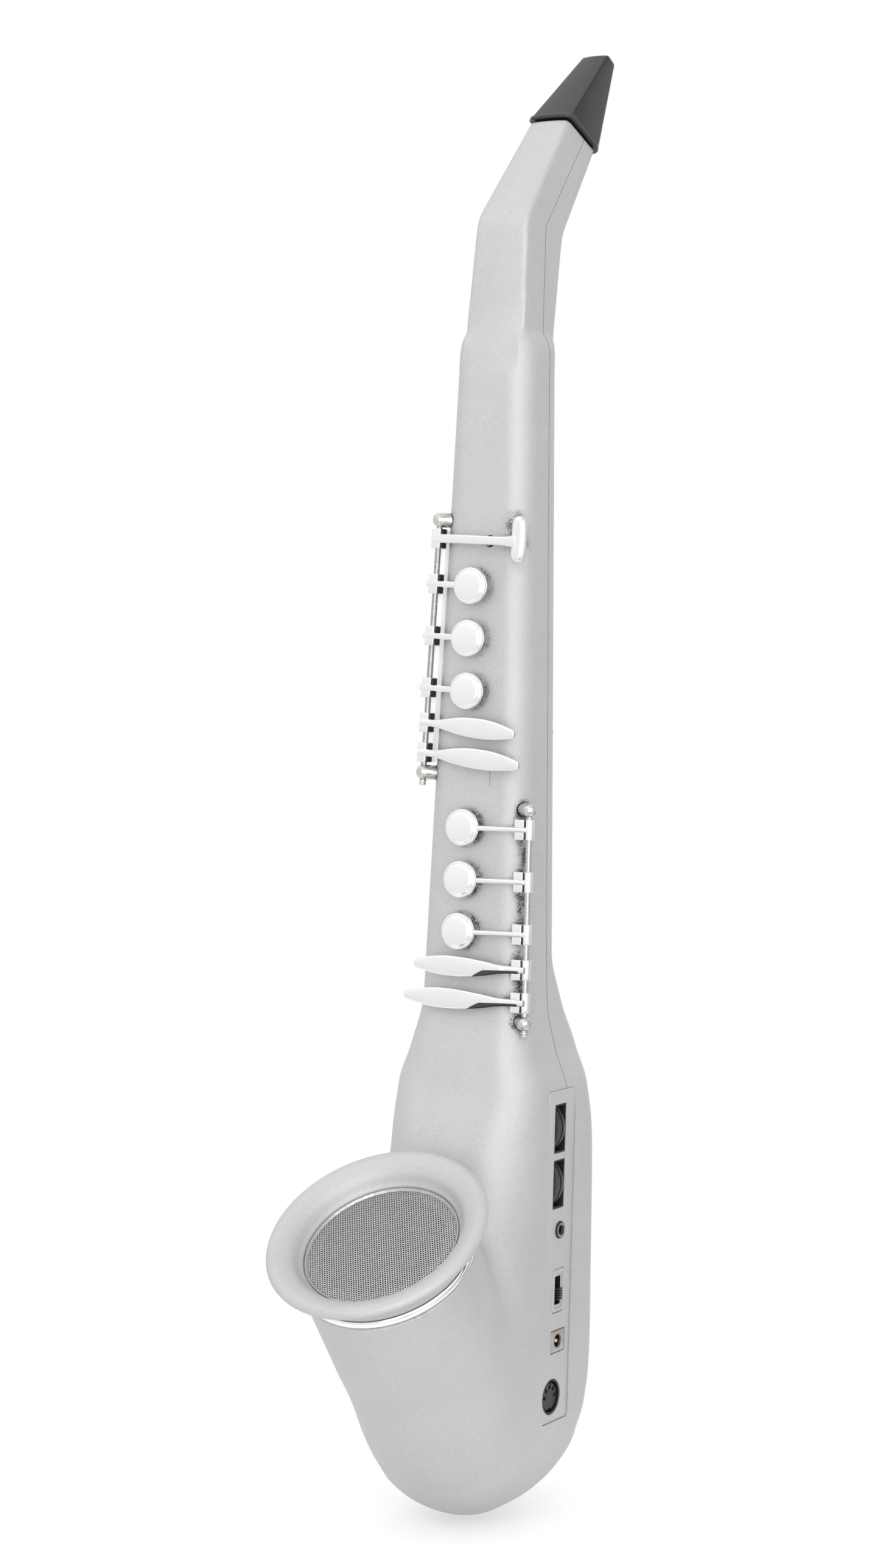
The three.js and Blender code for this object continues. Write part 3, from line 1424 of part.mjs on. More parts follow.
// Batteries stand on the lower contact, two high and three across.
const cellY = bayFront + fit + cellRadius;
const contactBottom = bayBottom + fit + contactThickness / 2;
const contactTop = bayTop - fit - contactThickness / 2;
const stackLength = cellLength * 2 + cellGap;
const contactReach = (contactTop - contactBottom - stackLength) / 2 - cellGap;
addPart(horn, 'battery_contact_bottom', batteryContacts(1), brass, [0, cellY, contactBottom]);
addPart(horn, 'battery_contact_top', batteryContacts(-1), brass, [0, cellY, contactTop]);
columns.forEach((column, i) => [0, 1].forEach((row) => {
  const bottom = contactBottom + contactReach + cellGap + row * (cellLength + cellGap);
  const place = [column * cellPitch, cellY, bottom];
  addPart(horn, `battery_cell_${i + 1}_${row + 1}`, batteryCell(), cellSkin, place);
}));
addPart(horn, 'battery_door', batteryDoor(), paint);

// Key stacks.
const openBore = [-postRadius - fit, postRadius + fit];
const deepBore = rodEnd + fit;
addPart(upperStack, 'upper_hinge_rod', hingeRod(upperLength, true), steel);
addPart(upperStack, 'upper_post_bottom', postSolid(0, openBore), steel);
addPart(upperStack, 'upper_post_top', postSolid(upperLength, [-postRadius - fit, deepBore]), steel);
addPart(upperStack, 'upper_rail', upperRail(), paint);
addPart(lowerStack, 'lower_hinge_rod', hingeRod(lowerLength, false), steel);
addPart(lowerStack, 'lower_post_top', postSolid(0, [-deepBore, postRadius + fit]), steel);
addPart(lowerStack, 'lower_post_bottom', postSolid(lowerLength, openBore), steel);
addPart(upperStack, 'upper_tee_key', teeLever(), chrome, [0, 0, teeAt]);
upperDiscs.forEach(({ at, pin }, i) => {
  addPart(upperStack, `upper_disc_key_${3 - i}`, discLever(pin), chrome, [0, 0, at]);
});
upperLeaves.forEach(({ at }, i) => {
  const lever = leafLever(upperLeafReach + (1 - i) * upperLeafStep, upperLeafDroop);
  addPart(upperStack, `upper_leaf_key_${2 - i}`, lever, chrome, [0, 0, at]);
});
lowerDiscs.forEach(({ at, pin }, i) => {
  addPart(lowerStack, `lower_disc_key_${i + 1}`, discLever(pin), chrome, [0, 0, at]);
});
lowerLeaves.forEach(({ at }, i) => {
  const lever = leafLever(lowerLeafReach + i * lowerLeafStep, lowerLeafDroop);
  addPart(lowerStack, `lower_leaf_key_${i + 1}`, lever, chrome, [0, 0, at]);
});

// Back.
octaveHinges.forEach((height, i) => {
  const name = i ? 'octave_up_key' : 'octave_down_key';
  addPart(horn, name, octaveKey(), chrome, [0, backAt(height) + lugReach / 2, height]);
});
addPart(horn, 'thumb_hook', thumbHook(), chrome);
addPart(horn, 'strap_eye', strapEye(), steel);
addPart(horn, 'strap_ring', strapRing(), steel, [0, strapY, strapHeight]);

export default group;
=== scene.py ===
import math

import bpy
import bmesh
import numpy as np
from mathutils import Matrix, Vector
from mathutils.bvhtree import BVHTree


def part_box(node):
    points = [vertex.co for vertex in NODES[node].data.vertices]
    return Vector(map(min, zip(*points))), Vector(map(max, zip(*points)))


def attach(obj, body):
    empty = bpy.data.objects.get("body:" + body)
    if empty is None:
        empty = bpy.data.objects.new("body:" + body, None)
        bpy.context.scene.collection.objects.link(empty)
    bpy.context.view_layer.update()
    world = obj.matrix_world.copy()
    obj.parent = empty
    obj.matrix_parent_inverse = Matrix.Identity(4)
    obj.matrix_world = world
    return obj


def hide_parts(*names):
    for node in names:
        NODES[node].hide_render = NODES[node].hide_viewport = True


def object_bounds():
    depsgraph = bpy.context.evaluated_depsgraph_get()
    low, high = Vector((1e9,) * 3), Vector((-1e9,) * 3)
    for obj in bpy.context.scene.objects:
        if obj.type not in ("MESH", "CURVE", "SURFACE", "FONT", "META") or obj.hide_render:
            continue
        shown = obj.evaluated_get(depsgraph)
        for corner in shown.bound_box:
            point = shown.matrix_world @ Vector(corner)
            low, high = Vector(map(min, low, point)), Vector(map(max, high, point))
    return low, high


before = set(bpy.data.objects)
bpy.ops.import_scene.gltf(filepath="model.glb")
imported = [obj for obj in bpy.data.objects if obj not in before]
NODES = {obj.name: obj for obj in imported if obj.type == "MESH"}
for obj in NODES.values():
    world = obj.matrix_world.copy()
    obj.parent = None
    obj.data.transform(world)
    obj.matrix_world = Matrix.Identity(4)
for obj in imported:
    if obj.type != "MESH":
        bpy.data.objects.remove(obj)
cad_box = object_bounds()

# The foot's frame is in millimetres, with the foot on z = 0 and the body's axis at x = y = 0.
MM = 0.001
STRAP_HEIGHT = 332.0
BOARD_Y = 12.2
SHIFT = Vector((0.0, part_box("main_board")[0].y / MM - BOARD_Y, -STRAP_HEIGHT))

# Camera, measured from the photograph. The focal share is its focal length over the picture's height.
CAMERA_AZIMUTH = 31.5
CAMERA_ELEVATION = 3.0
CAMERA_ROLL = 1.5
CAMERA_DISTANCE = 1200.0
CAMERA_TARGET_HEIGHT = 310.0
CAMERA_TARGET_SIDE = -24.87
FOCAL_SHARE = 4680 / 2576
SENSOR = 36.0

# Body: each row of the bow gives shares of its height, half width, reach and back, and of its rounds.
WALL = 2.4
SEAM = 0.26
BOW_HEIGHT = 240.0
BOW_HALF = 35.1
BOW_REACH = 78.0
BOW_BACK = 41.0
STEM_TOP = 480.0
STEM = {"half": (24.6, 18.3), "front": (23.0, 19.0), "back": (13.6, 13.4)}
STEM_FRONT_ROUND = 10.0
STEM_BACK_ROUND = 12.0
SHOULDER = 18.0
BOW_ROWS = [
    (0.0130, 0.13, 0.24, -0.33, 0.07, 0.06), (0.019, 0.31, 0.33, -0.13, 0.29, 0.24),
    (0.032, 0.50, 0.43, 0.18, 0.48, 0.43), (0.052, 0.68, 0.535, 0.43, 0.66, 0.59),
    (0.087, 0.86, 0.655, 0.765, 0.83, 0.78), (0.140, 0.975, 0.775, 0.985, 0.92, 0.80),
    (0.190, 1.00, 0.875, 1.03, 0.96, 0.66), (0.250, 1.00, 0.955, 1.03, 0.97, 0.54),
    (0.400, 1.00, 0.80, 0.99, 0.96, 0.48), (0.540, 1.00, 0.66, 0.965, 0.88, 0.48),
    (0.645, 1.00, 0.52, 0.94, 0.68, 0.48), (0.700, 0.995, 0.465, 0.91, 0.57, 0.48),
    (0.767, 0.97, 0.40, 0.83, 0.46, 0.48), (0.833, 0.825, 0.365, 0.77, 0.38, 0.46),
    (0.917, 0.72, 0.305, 0.55, 0.31, 0.40),
]
FOOT_POLE = (3.12, 0.3, 16.4, -15.8, 0.2, 0.2)
STEM_SHARES = (0, 0.1, 0.25, 0.65, 0.92, 1.0)
SHOULDER_ROWS = [(0.45, 0.05), (0.75, 0.3), (1.0, 0.95)]

# Neck: half width, front point and back point of each section.
NECK_FOOT = (14.1, (-15.7, 498.0), (14.2, 498.0))
NECK_ROOT = (14.1, (-15.7, 470.0), (14.2, 470.0))
NECK_BEND = (12.3, (-12.0, 545.2), (22.6, 540.8))
NECK_TOP = (9.4, (25.4, 591.0), (53.0, 580.0))
SHOULDER_END = (NECK_FOOT[0], 15.9, 13.5, 4.0, 6.0)
NECK_FRONT_ROUND = 1.8
NECK_BACK_ROUND = 6.0
NECK_SAG = 1.0

# Bell.
BELL_CENTRE = (0.0, -88.3, 134.4)
BELL_LEAN = 35.0
LIP_RADIUS = 46.29
TUBE_RADIUS = 35.9
TUBE_TOP_RADIUS = 36.8
TUBE_TAPER = 60.0
TUBE_LENGTH = 95.0
TUBE_WALL = 2.9
LIP_TO_TUBE = 17.2

# Light: strength of the world and of the floor, and what metal sees.
FILL = 0.80
FLOOR_LIFT = 0.46
LIGHT_TARGET = (0, 0, 300)
# The studio's dark gaps: azimuth of the middle in radians, half width and depth.
STUDIO_GAPS = [(2.59, 0.20, 0.6), (0.80, 0.10, 0.8), (1.95, 0.11, 0.85)]


# Helpers.
def place(point):
    """A point in the foot's frame, in millimetres, as a point of the model in metres."""
    return (Vector(point) + SHIFT) * MM


def add_object(name, data):
    """A new object in the scene."""
    obj = bpy.data.objects.new(name, data)
    bpy.context.scene.collection.objects.link(obj)
    return obj


def circle(count):
    """Cosine and sine at even steps round a circle."""
    return [(math.cos(t), math.sin(t)) for t in (2 * math.pi * k / count for k in range(count))]


def arc(start, end, count):
    """Cosine and sine at even steps between two angles in degrees, both ends included."""
    return [(math.cos(t), math.sin(t)) for t in np.linspace(math.radians(start), math.radians(end), count)]


def run_along(points):
    """The distance of each point from the first, along the line through them."""
    return np.concatenate([[0], np.cumsum(np.linalg.norm(np.diff(points, axis=0), axis=1))])


def new_object(name, points, faces, look=None, smooth=40.0, matrix=None):
    """A mesh from points in millimetres, in the foot's frame or in a local one set by a matrix."""
    points = np.asarray(points, float).reshape(-1, 3)
    if matrix is not None:
        m = np.array(matrix, float)
        points = points @ m[:3, :3].T + m[:3, 3]
    points = (points + np.array(SHIFT)) * MM
    mesh = bpy.data.meshes.new(name)
    mesh.from_pydata(points.tolist(), [], faces)
    mesh.update()
    obj = add_object(name, mesh)
    if look:
        mesh.materials.append(MAT[look])
    if smooth:
        shade(obj, smooth)
    return obj


def shade(obj, angle):
    mesh = obj.data
    mesh.shade_smooth()
    mesh.set_sharp_from_angle(angle=math.radians(angle))


def bake(obj):
    """Applies an object's modifiers."""
    graph = bpy.context.evaluated_depsgraph_get()
    mesh = bpy.data.meshes.new_from_object(obj.evaluated_get(graph))
    obj.modifiers.clear()
    old = obj.data
    obj.data = mesh
    bpy.data.meshes.remove(old)


def combine(obj, cutters, operation="DIFFERENCE"):
    """Cuts, joins or crosses an object with others, which are then removed."""
    for cutter in cutters:
        modifier = obj.modifiers.new("cut", "BOOLEAN")
        modifier.operation = operation
        modifier.solver = "MANIFOLD"
        modifier.material_mode = "TRANSFER"
        modifier.object = cutter
    bake(obj)
    for cutter in cutters:
        bpy.data.objects.remove(cutter)
    return obj


def copy_of(obj, name):
    twin = add_object(name, obj.data.copy())
    twin.matrix_world = obj.matrix_world
    return twin


def joined(name, parts):
    """Several closed meshes as one object, each with its own material."""
    mesh = bpy.data.meshes.new(name)
    bm, materials = bmesh.new(), []
    for part in parts:
        start = len(bm.faces)
        bm.from_mesh(part.data)
        bm.faces.ensure_lookup_table()
        slots = list(part.data.materials) or [None]
        for face in bm.faces[start:]:
            material = slots[min(face.material_index, len(slots) - 1)]
            if material not in materials:
                materials.append(material)
            face.material_index = materials.index(material)
    bm.to_mesh(mesh)
    bm.free()
    for part in parts:
        bpy.data.objects.remove(part)
    obj = add_object(name, mesh)
    if materials != [None]:
        for material in materials:
            mesh.materials.append(material)
    return obj


def loft(name, rings, look=None, smooth=40.0, matrix=None):
    """A closed mesh through rings of equal counts of points."""
    rings = [np.asarray(ring, float) for ring in rings]
    count = len(rings[0])
    faces = []
    for row in range(len(rings) - 1):
        for i in range(count):
            a, b = row * count + i, row * count + (i + 1) % count
            faces.append((a, b, b + count, a + count))
    points = np.vstack(rings)
    last = (len(rings) - 1) * count
    for start, down in ((0, True), (last, False)):
        ring = rings[0] if down else rings[-1]
        points = np.vstack([points, ring.mean(0)])
        middle = len(points) - 1
        for i in range(count):
            a, b = start + i, start + (i + 1) % count
            faces.append((middle, b, a) if down else (middle, a, b))
    return new_object(name, points, faces, look, smooth, matrix)


def lathe(name, profile, segments=64, look=None, smooth=35.0, matrix=None):
    """A closed profile of (radius, height) turned about Z. Points on the axis are shared."""
    points, rows = [], []
    for radius, height in profile:
        if radius < 1e-6:
            rows.append([len(points)] * segments)
            points.append((0.0, 0.0, height))
        else:
            rows.append(list(range(len(points), len(points) + segments)))
            points += [(radius * c, radius * s, height) for c, s in circle(segments)]
    closed = profile[0][0] > 1e-6
    pairs = list(zip(rows, rows[1:])) + ([(rows[-1], rows[0])] if closed else [])
    faces = []
    for low, high in pairs:
        for i in range(segments):
            k = (i + 1) % segments
            quad = [low[i], low[k], high[k], high[i]]
            face = [v for n, v in enumerate(quad) if v not in quad[:n]]
            if len(face) > 2:
                faces.append(face)
    return new_object(name, points, faces, look, smooth, matrix)


def outline_prism(name, outline, low, high, bevel=0.0, look=None, smooth=35.0, matrix=None, steps=2):
    """An outline in X and Y pushed along Z, its edges rounded by a bevel."""
    outline = np.asarray(outline, float)
    after = np.roll(outline, -1, 0)
    if (outline[:, 0] * after[:, 1] - outline[:, 1] * after[:, 0]).sum() < 0:
        outline = outline[::-1]
    before = np.roll(outline, 1, 0)
    after = np.roll(outline, -1, 0)
    first, second = outline - before, after - outline
    normals = []
    for edge in (first, second):
        n = np.stack([edge[:, 1], -edge[:, 0]], 1)
        normals.append(n / np.maximum(np.linalg.norm(n, axis=1, keepdims=True), 1e-9))
    mitre = normals[0] + normals[1]
    mitre /= np.maximum((mitre * normals[0]).sum(1, keepdims=True), 0.35)
    rings = []
    if bevel > 0:
        for k in range(steps + 1):
            turn = math.pi / 2 * k / steps
            inset, up = bevel * (1 - math.sin(turn)), bevel * (1 - math.cos(turn))
            rings.append((outline - mitre * inset, low + up))
        rings += [(ring, high - (z - low)) for ring, z in reversed(rings)]
    else:
        rings = [(outline, low), (outline, high)]
    stack = [np.column_stack([ring, np.full(len(ring), z)]) for ring, z in rings]
    return loft(name, stack, look, smooth, matrix)


def rounded(width, height, radius, steps=6, centre=(0.0, 0.0)):
    """The outline of a rectangle with round corners."""
    points = []
    for corner, (sx, sy) in enumerate(((1, 1), (-1, 1), (-1, -1), (1, -1))):
        for k in range(steps + 1):
            turn = (corner + k / steps) * math.pi / 2
            points.append((centre[0] + sx * (width / 2 - radius) + radius * math.cos(turn),
                           centre[1] + sy * (height / 2 - radius) + radius * math.sin(turn)))
    return points


def block(name, size, centre, bevel, look=None, matrix=None):
    """A box with rounded edges."""
    w, d, h = size
    radius = max(bevel, 0.01)
    shape = rounded(w, d, radius, 3, centre[:2])
    low = centre[2] - h / 2
    return outline_prism(name, shape, low, low + h, bevel, look, 35.0, matrix)


def axis_matrix(start, end, matrix=None):
    """A frame whose Z runs from one point to another, and their distance."""
    start, end = Vector(start), Vector(end)
    turn = (end - start).to_track_quat("Z", "Y").to_matrix().to_4x4()
    local = Matrix.Translation(start) @ turn
    return local if matrix is None else matrix @ local, (end - start).length


def rod(name, start, end, radius, round_end=0.0, segments=32, look=None, matrix=None):
    """A round bar between two points, with rounded edges."""
    local, length = axis_matrix(start, end, matrix)
    r = round_end
    profile = [(0, 0)]
    if r > 0:
        profile += [(radius - r + r * s, r - r * c) for c, s in arc(0, 90, 4)]
        profile += [(radius - r + r * c, length - r + r * s) for c, s in arc(0, 90, 4)]
    else:
        profile += [(radius, 0), (radius, length)]
    profile.append((0, length))
    return lathe(name, profile, segments, look, 35.0, local)


def hermite(a, b, slope_a, slope_b, h, t):
    """The smooth curve from a to b with given slopes, at a share t of its span h."""
    return ((2 * t**3 - 3 * t**2 + 1) * a + (t**3 - 2 * t**2 + t) * h * slope_a
            + (3 * t**2 - 2 * t**3) * b + (t**3 - t**2) * h * slope_b)


def pchip(xs, ys, x):
    """Smooth monotone interpolation through points."""
    xs, ys = np.asarray(xs, float), np.asarray(ys, float)
    h = np.diff(xs)
    d = np.diff(ys) / h
    m = np.zeros_like(ys)
    m[0], m[-1] = d[0], d[-1]
    for i in range(1, len(xs) - 1):
        if d[i - 1] * d[i] > 0:
            w1, w2 = 2 * h[i] + h[i - 1], h[i] + 2 * h[i - 1]
            m[i] = (w1 + w2) / (w1 / d[i - 1] + w2 / d[i])
    i = np.clip(np.searchsorted(xs, x) - 1, 0, len(xs) - 2)
    return hermite(ys[i], ys[i + 1], m[i], m[i + 1], h[i], (x - xs[i]) / h[i])


# Shape of the body.
def blend(pair, share):
    """A value at a share of the way between two."""
    return pair[0] + (pair[1] - pair[0]) * share


def stem_row(share):
    half, front, back = (blend(STEM[key], share) for key in ("half", "front", "back"))
    return [blend((BOW_HEIGHT, STEM_TOP), share), half, front, back, STEM_FRONT_ROUND, STEM_BACK_ROUND]


def body_table():
    rows = [list(FOOT_POLE)]
    for up, half, front, back, front_round, back_round in BOW_ROWS:
        rows.append([up * BOW_HEIGHT, half * BOW_HALF, front * BOW_REACH, back * BOW_BACK,
                     front_round * BOW_HALF, back_round * BOW_HALF])
    rows += [stem_row(share) for share in STEM_SHARES]
    for up, inward in SHOULDER_ROWS:
        sizes = [blend(pair, inward) for pair in zip(stem_row(1.0)[1:], SHOULDER_END)]
        rows.append([STEM_TOP + up * SHOULDER, *sizes])
    return np.array(rows)


# Each row is a height, half width, front, back, front round and back round, with its run from the foot.
BODY = body_table()
BODY_RUN = np.concatenate([[0], np.cumsum(np.hypot(np.diff(BODY[:, 0]), np.diff(BODY[:, 1])) + 1e-6)])


def body_rows(spacing):
    """The body's sections at even steps of its run."""
    t = np.unique(np.concatenate([np.arange(0, BODY_RUN[-1], spacing), BODY_RUN]))
    return np.stack([pchip(BODY_RUN, BODY[:, k], t) for k in range(6)], 1)


def back_at(height):
    """How far the body reaches back at a height."""
    rows = body_rows(0.5)
    return rows[np.argmin(np.abs(rows[:, 0] - height)), 3]


def section(half, front, back, front_round, back_round, steps, sag=0.0):
    """A rounded section, anticlockwise from the back right."""
    points = []
    for corner, (side, end) in enumerate(((1, 1), (-1, 1), (-1, -1), (1, -1))):
        r = back_round if end > 0 else front_round
        cx, cy = side * (half - r), (back - r if end > 0 else r - front)
        for k in range(steps + 1):
            turn = (corner + k / steps) * math.pi / 2
            points.append((cx + r * math.cos(turn), cy + r * math.sin(turn)))
        if corner == 2:
            for k in range(1, 8):
                points.append((-(half - r) + 2 * (half - r) * k / 8, -front))
    points = np.array(points)
    if sag:
        shape = np.clip((back - points[:, 1]) / (back + front), 0, 1) ** 4
        points[:, 1] += sag * (points[:, 0] / half) ** 2 * shape
    return points


def body_solid(name, inset=0.0):
    """The body's form, or the hollow at a distance inside it."""
    rings = []
    for height, half, front, back, front_round, back_round in body_rows(2.0):
        if inset and (half < inset * 2.5 or front + back < inset * 6):
            continue
        lift = max(0.0, 1 - height / BOW_HEIGHT) * inset
        least = inset / 2 if inset else 0.1
        ring = section(half - inset, front - inset, back - inset,
                       max(front_round - inset, least), max(back_round - inset, least), 14)
        rings.append(np.column_stack([ring, np.full(len(ring), height + lift)]))
    return loft(name, rings, None, 0)


def neck_path():
    """Stations of the neck, with its bend eased."""
    spacing = 1.5
    stations = [NECK_ROOT, NECK_FOOT, NECK_BEND, NECK_TOP]
    table = np.array([[half, *front, *back] for half, front, back in stations])
    run = run_along(table[:, 1:3])
    t = np.arange(0, run[-1] + spacing / 2, spacing)
    t[-1] = run[-1]
    rows = np.stack([np.interp(t, run, table[:, k]) for k in range(5)], 1)
    eased = rows.copy()
    for _ in range(10):
        eased[1:-1] = (eased[:-2] + 2 * eased[1:-1] + eased[2:]) / 4
    return eased


def leaning_ring(half, front, back, inset, front_round, back_round, sag=0.0):
    """A rounded section between a front and a back point."""
    front, back = np.array(front, float), np.array(back, float)
    along = back - front
    depth = np.linalg.norm(along)
    along /= depth
    flat = section(half - inset, -inset, depth - inset, max(front_round - inset, 0.6),
                   max(back_round - inset, 0.6), 10, sag)
    ring = np.zeros((len(flat), 3))
    ring[:, 0] = flat[:, 0]
    ring[:, 1:] = front + flat[:, 1:2] * along
    return ring


def past_neck_top(distance):
    """Half width, front and back point of the neck carried on past its top."""
    rows = neck_path()
    top, before = rows[-1], rows[-4]
    run = math.hypot(top[1] - before[1], top[2] - before[2])
    row = before + (top - before) * (1 + distance / run)
    return row[0], row[1:3], row[3:5]


def neck_solid(name, inset=0.0, extend=0.0):
    rows = [(row[0], row[1:3], row[3:5]) for row in neck_path()]
    if extend:
        rows.append(past_neck_top(extend))
    rings = [leaning_ring(*row, inset, NECK_FRONT_ROUND, NECK_BACK_ROUND, sag=NECK_SAG) for row in rows]
    return loft(name, rings, None, 0)


BELL_FRAME = Matrix.Translation(BELL_CENTRE) @ Matrix.Rotation(math.radians(BELL_LEAN), 4, "X")


def tube_solid(name, inset, start, end):
    """The bell tube between two depths under the lip."""
    profile = [(0, -end), (TUBE_RADIUS - inset, -end)]
    for k in range(9):
        share = k / 8
        depth = LIP_TO_TUBE + TUBE_TAPER * (1 - share)
        profile.append((TUBE_RADIUS - inset + (TUBE_TOP_RADIUS - TUBE_RADIUS) * share, -depth))
    profile = [p for p in profile if p[1] < -start] + [(profile[-1][0], -start), (0, -start)]
    return lathe(name, profile, 160, None, 0, BELL_FRAME)


# Camera and lamps.
def make_camera():
    a, e, r = (math.radians(v) for v in (CAMERA_AZIMUTH, CAMERA_ELEVATION, CAMERA_ROLL))
    back = Vector((math.sin(a) * math.cos(e), -math.cos(a) * math.cos(e), math.sin(e)))
    level = Vector((math.cos(a), math.sin(a), 0))
    upright = back.cross(level)
    right = level * math.cos(r) + upright * math.sin(r)
    up = upright * math.cos(r) - level * math.sin(r)
    target = Vector((0, 0, CAMERA_TARGET_HEIGHT)) + right * CAMERA_TARGET_SIDE
    eye = place(target + back * CAMERA_DISTANCE)
    data = bpy.data.cameras.new("camera")
    data.sensor_fit = "VERTICAL"
    data.sensor_height = SENSOR
    data.lens = FOCAL_SHARE * SENSOR
    data.clip_start = 0.05
    data.clip_end = 20
    camera = add_object("camera", data)
    camera.matrix_world = Matrix.Translation(eye) @ Matrix((right, up, back)).transposed().to_4x4()
    bpy.context.scene.camera = camera


def area_light(name, position, size, power):
    data = bpy.data.lights.new(name, "AREA")
    data.shape = "RECTANGLE"
    data.size, data.size_y = size
    data.energy = power
    spot = place(position)
    aim = (place(LIGHT_TARGET) - spot).to_track_quat("-Z", "Y")
    add_object(name, data).matrix_world = Matrix.Translation(spot) @ aim.to_matrix().to_4x4()


# Materials.
class Nodes:
    """Short calls for building a material's nodes."""

    def __init__(self, name, tree=None):
        self.tree = tree
        if tree is None:
            self.material = bpy.data.materials.new(name)
            self.material.use_nodes = True
            self.tree = self.material.node_tree
            self.shader = self.tree.nodes["Principled BSDF"]

    def add(self, kind, **inputs):
        node = self.tree.nodes.new("ShaderNode" + kind)
        for key, value in inputs.items():
            if hasattr(node, key):
                setattr(node, key, value)
            else:
                self.set(node, key.replace("_", " "), value)
        return node

    def set(self, node, key, value):
        socket = node.inputs[key]
        if isinstance(value, bpy.types.NodeSocket):
            self.tree.links.new(value, socket)
        else:
            socket.default_value = value

    def principled(self, **inputs):
        for key, value in inputs.items():
            self.set(self.shader, key.replace("_", " "), value)

    def coords(self):
        return self.add("TexCoord").outputs["Object"]

    def noise(self, scale, detail=3.0, roughness=0.5):
        node = self.add("TexNoise", Vector=self.coords(), Scale=scale, Detail=detail, Roughness=roughness)
        return node.outputs["Fac"]

    def fill(self, node, *values):
        """Sets a node's first sockets in order."""
        for index, value in enumerate(values):
            self.set(node, index, value)
        return node

    def ramp(self, value, low, high, to_low=0.0, to_high=1.0, smooth=False):
        node = self.add("MapRange", interpolation_type="SMOOTHSTEP" if smooth else "LINEAR")
        return self.fill(node, value, low, high, to_low, to_high).outputs[0]

    def math(self, operation, a, b=0.5):
        return self.fill(self.add("Math", operation=operation), a, b).outputs[0]

    def vector(self, operation, a, b, scale=None):
        node = self.fill(self.add("VectorMath", operation=operation), a, b)
        if scale is not None:
            self.set(node, "Scale", scale)
        return node.outputs["Value" if operation in ("DOT_PRODUCT", "LENGTH") else "Vector"]

    def near(self, start, end, reach):
        """1 on the line between two places in millimetres, 0 beyond its reach."""
        span = (Vector(end) - Vector(start)) * MM
        away = self.vector("SUBTRACT", self.coords(), Vector(start) * MM)
        share = self.ramp(self.vector("DOT_PRODUCT", away, span), 0.0, span.length_squared)
        foot = self.vector("SCALE", span, (0, 0, 0), share)
        far = self.vector("LENGTH", self.vector("SUBTRACT", away, foot), (0, 0, 0))
        return self.ramp(far, reach * MM * 0.4, reach * MM, 1.0, 0.0)

    def mix(self, factor, a, b):
        node = self.fill(self.add("Mix", data_type="RGBA"), factor)
        for index, color in ((6, a), (7, b)):
            self.set(node, index, (*color, 1) if isinstance(color, tuple) else color)
        return node.outputs[2]

    def bump(self, height, strength, distance):
        node = self.add("Bump", Height=height, Strength=strength, Distance=distance)
        self.set(self.shader, "Normal", node.outputs[0])


# Fine marks in the paint, in millimetres in the part's own frame: hairlines and yellowed spots.
SCRATCHES = [
    ((7.2, -41.1, -9.0), (8.0, -41.2, -21.5), 0.2), ((5.6, -41.0, -10.5), (7.4, -41.1, -12.6), 0.16),
    ((-0.2, -46.6, -74.6), (0.1, -46.7, -75.8), 0.45),
]
STAINS = [
    ((11.9, -38.4, 72.6), 1.5), ((14.3, -38.2, 89.8), 1.1),
    ((-14.0, -38.0, 60.0), 0.8), ((3.6, -29.9, 215.0), 1.2),
]
STAIN_LENGTH = 0.6


def paint_material(name, dusty_shaded=False, speckle=1.0):
    """Silver paint: fine metallic grain, faint mottling, and dust with painted shade where the mesh says so.
    """
    n = Nodes(name)
    grain = n.noise(1300.0, 3.0, 0.65)
    speck = n.noise(5200.0, 1.0, 0.5)
    cloud = n.noise(45.0, 3.0, 0.55)
    tone = n.mix(n.ramp(cloud, 0.35, 0.65), (0.545, 0.55, 0.545), (0.57, 0.575, 0.57))
    tone = n.mix(n.ramp(grain, 0.38, 0.66, 0.0, 0.45), tone, (0.72, 0.725, 0.72))
    tone = n.mix(n.ramp(speck, 0.60, 0.75, 0.0, 0.3 * speckle), tone, (0.36, 0.36, 0.36))
    rough = n.ramp(grain, 0.3, 0.7, 0.45, 0.58)
    if dusty_shaded:
        dust_and_shade = n.add("Attribute", attribute_name="dust_and_shade").outputs["Fac"]
        dust = n.noise(2900.0, 3.0, 0.75)
        patch = n.noise(230.0, 3.0, 0.65)
        # The level is painted shade near the keys, rods and posts, mixed with dust: it darkens the paint
        # softly, then adds dark grit.
        level = n.math("MULTIPLY", dust_and_shade, n.ramp(patch, 0.32, 0.62, 0.35, 1.0))
        grit = n.ramp(n.math("ADD", dust, n.math("MULTIPLY", level, 0.34)), 0.64, 0.77)
        tone = n.mix(n.math("MULTIPLY", level, 0.2), tone, (0.22, 0.215, 0.21))
        tone = n.mix(n.math("MULTIPLY", grit, n.ramp(level, 0.02, 0.3)), tone, (0.035, 0.033, 0.032))
        for start, end, reach in SCRATCHES:
            tone = n.mix(n.math("MULTIPLY", n.near(start, end, reach), 0.8), tone, (0.12, 0.115, 0.11))
        spots = n.ramp(n.noise(900.0), 0.35, 0.65, 0.1, 0.55)
        for start, reach in STAINS:
            end = (*start[:2], start[2] + STAIN_LENGTH)
            tone = n.mix(n.math("MULTIPLY", n.near(start, end, reach), spots), tone, (0.44, 0.43, 0.30))
    n.principled(Base_Color=tone, Roughness=rough, Metallic=0.4)
    n.bump(n.math("ADD", grain, speck), 0.22, 0.00012)
    return n.material


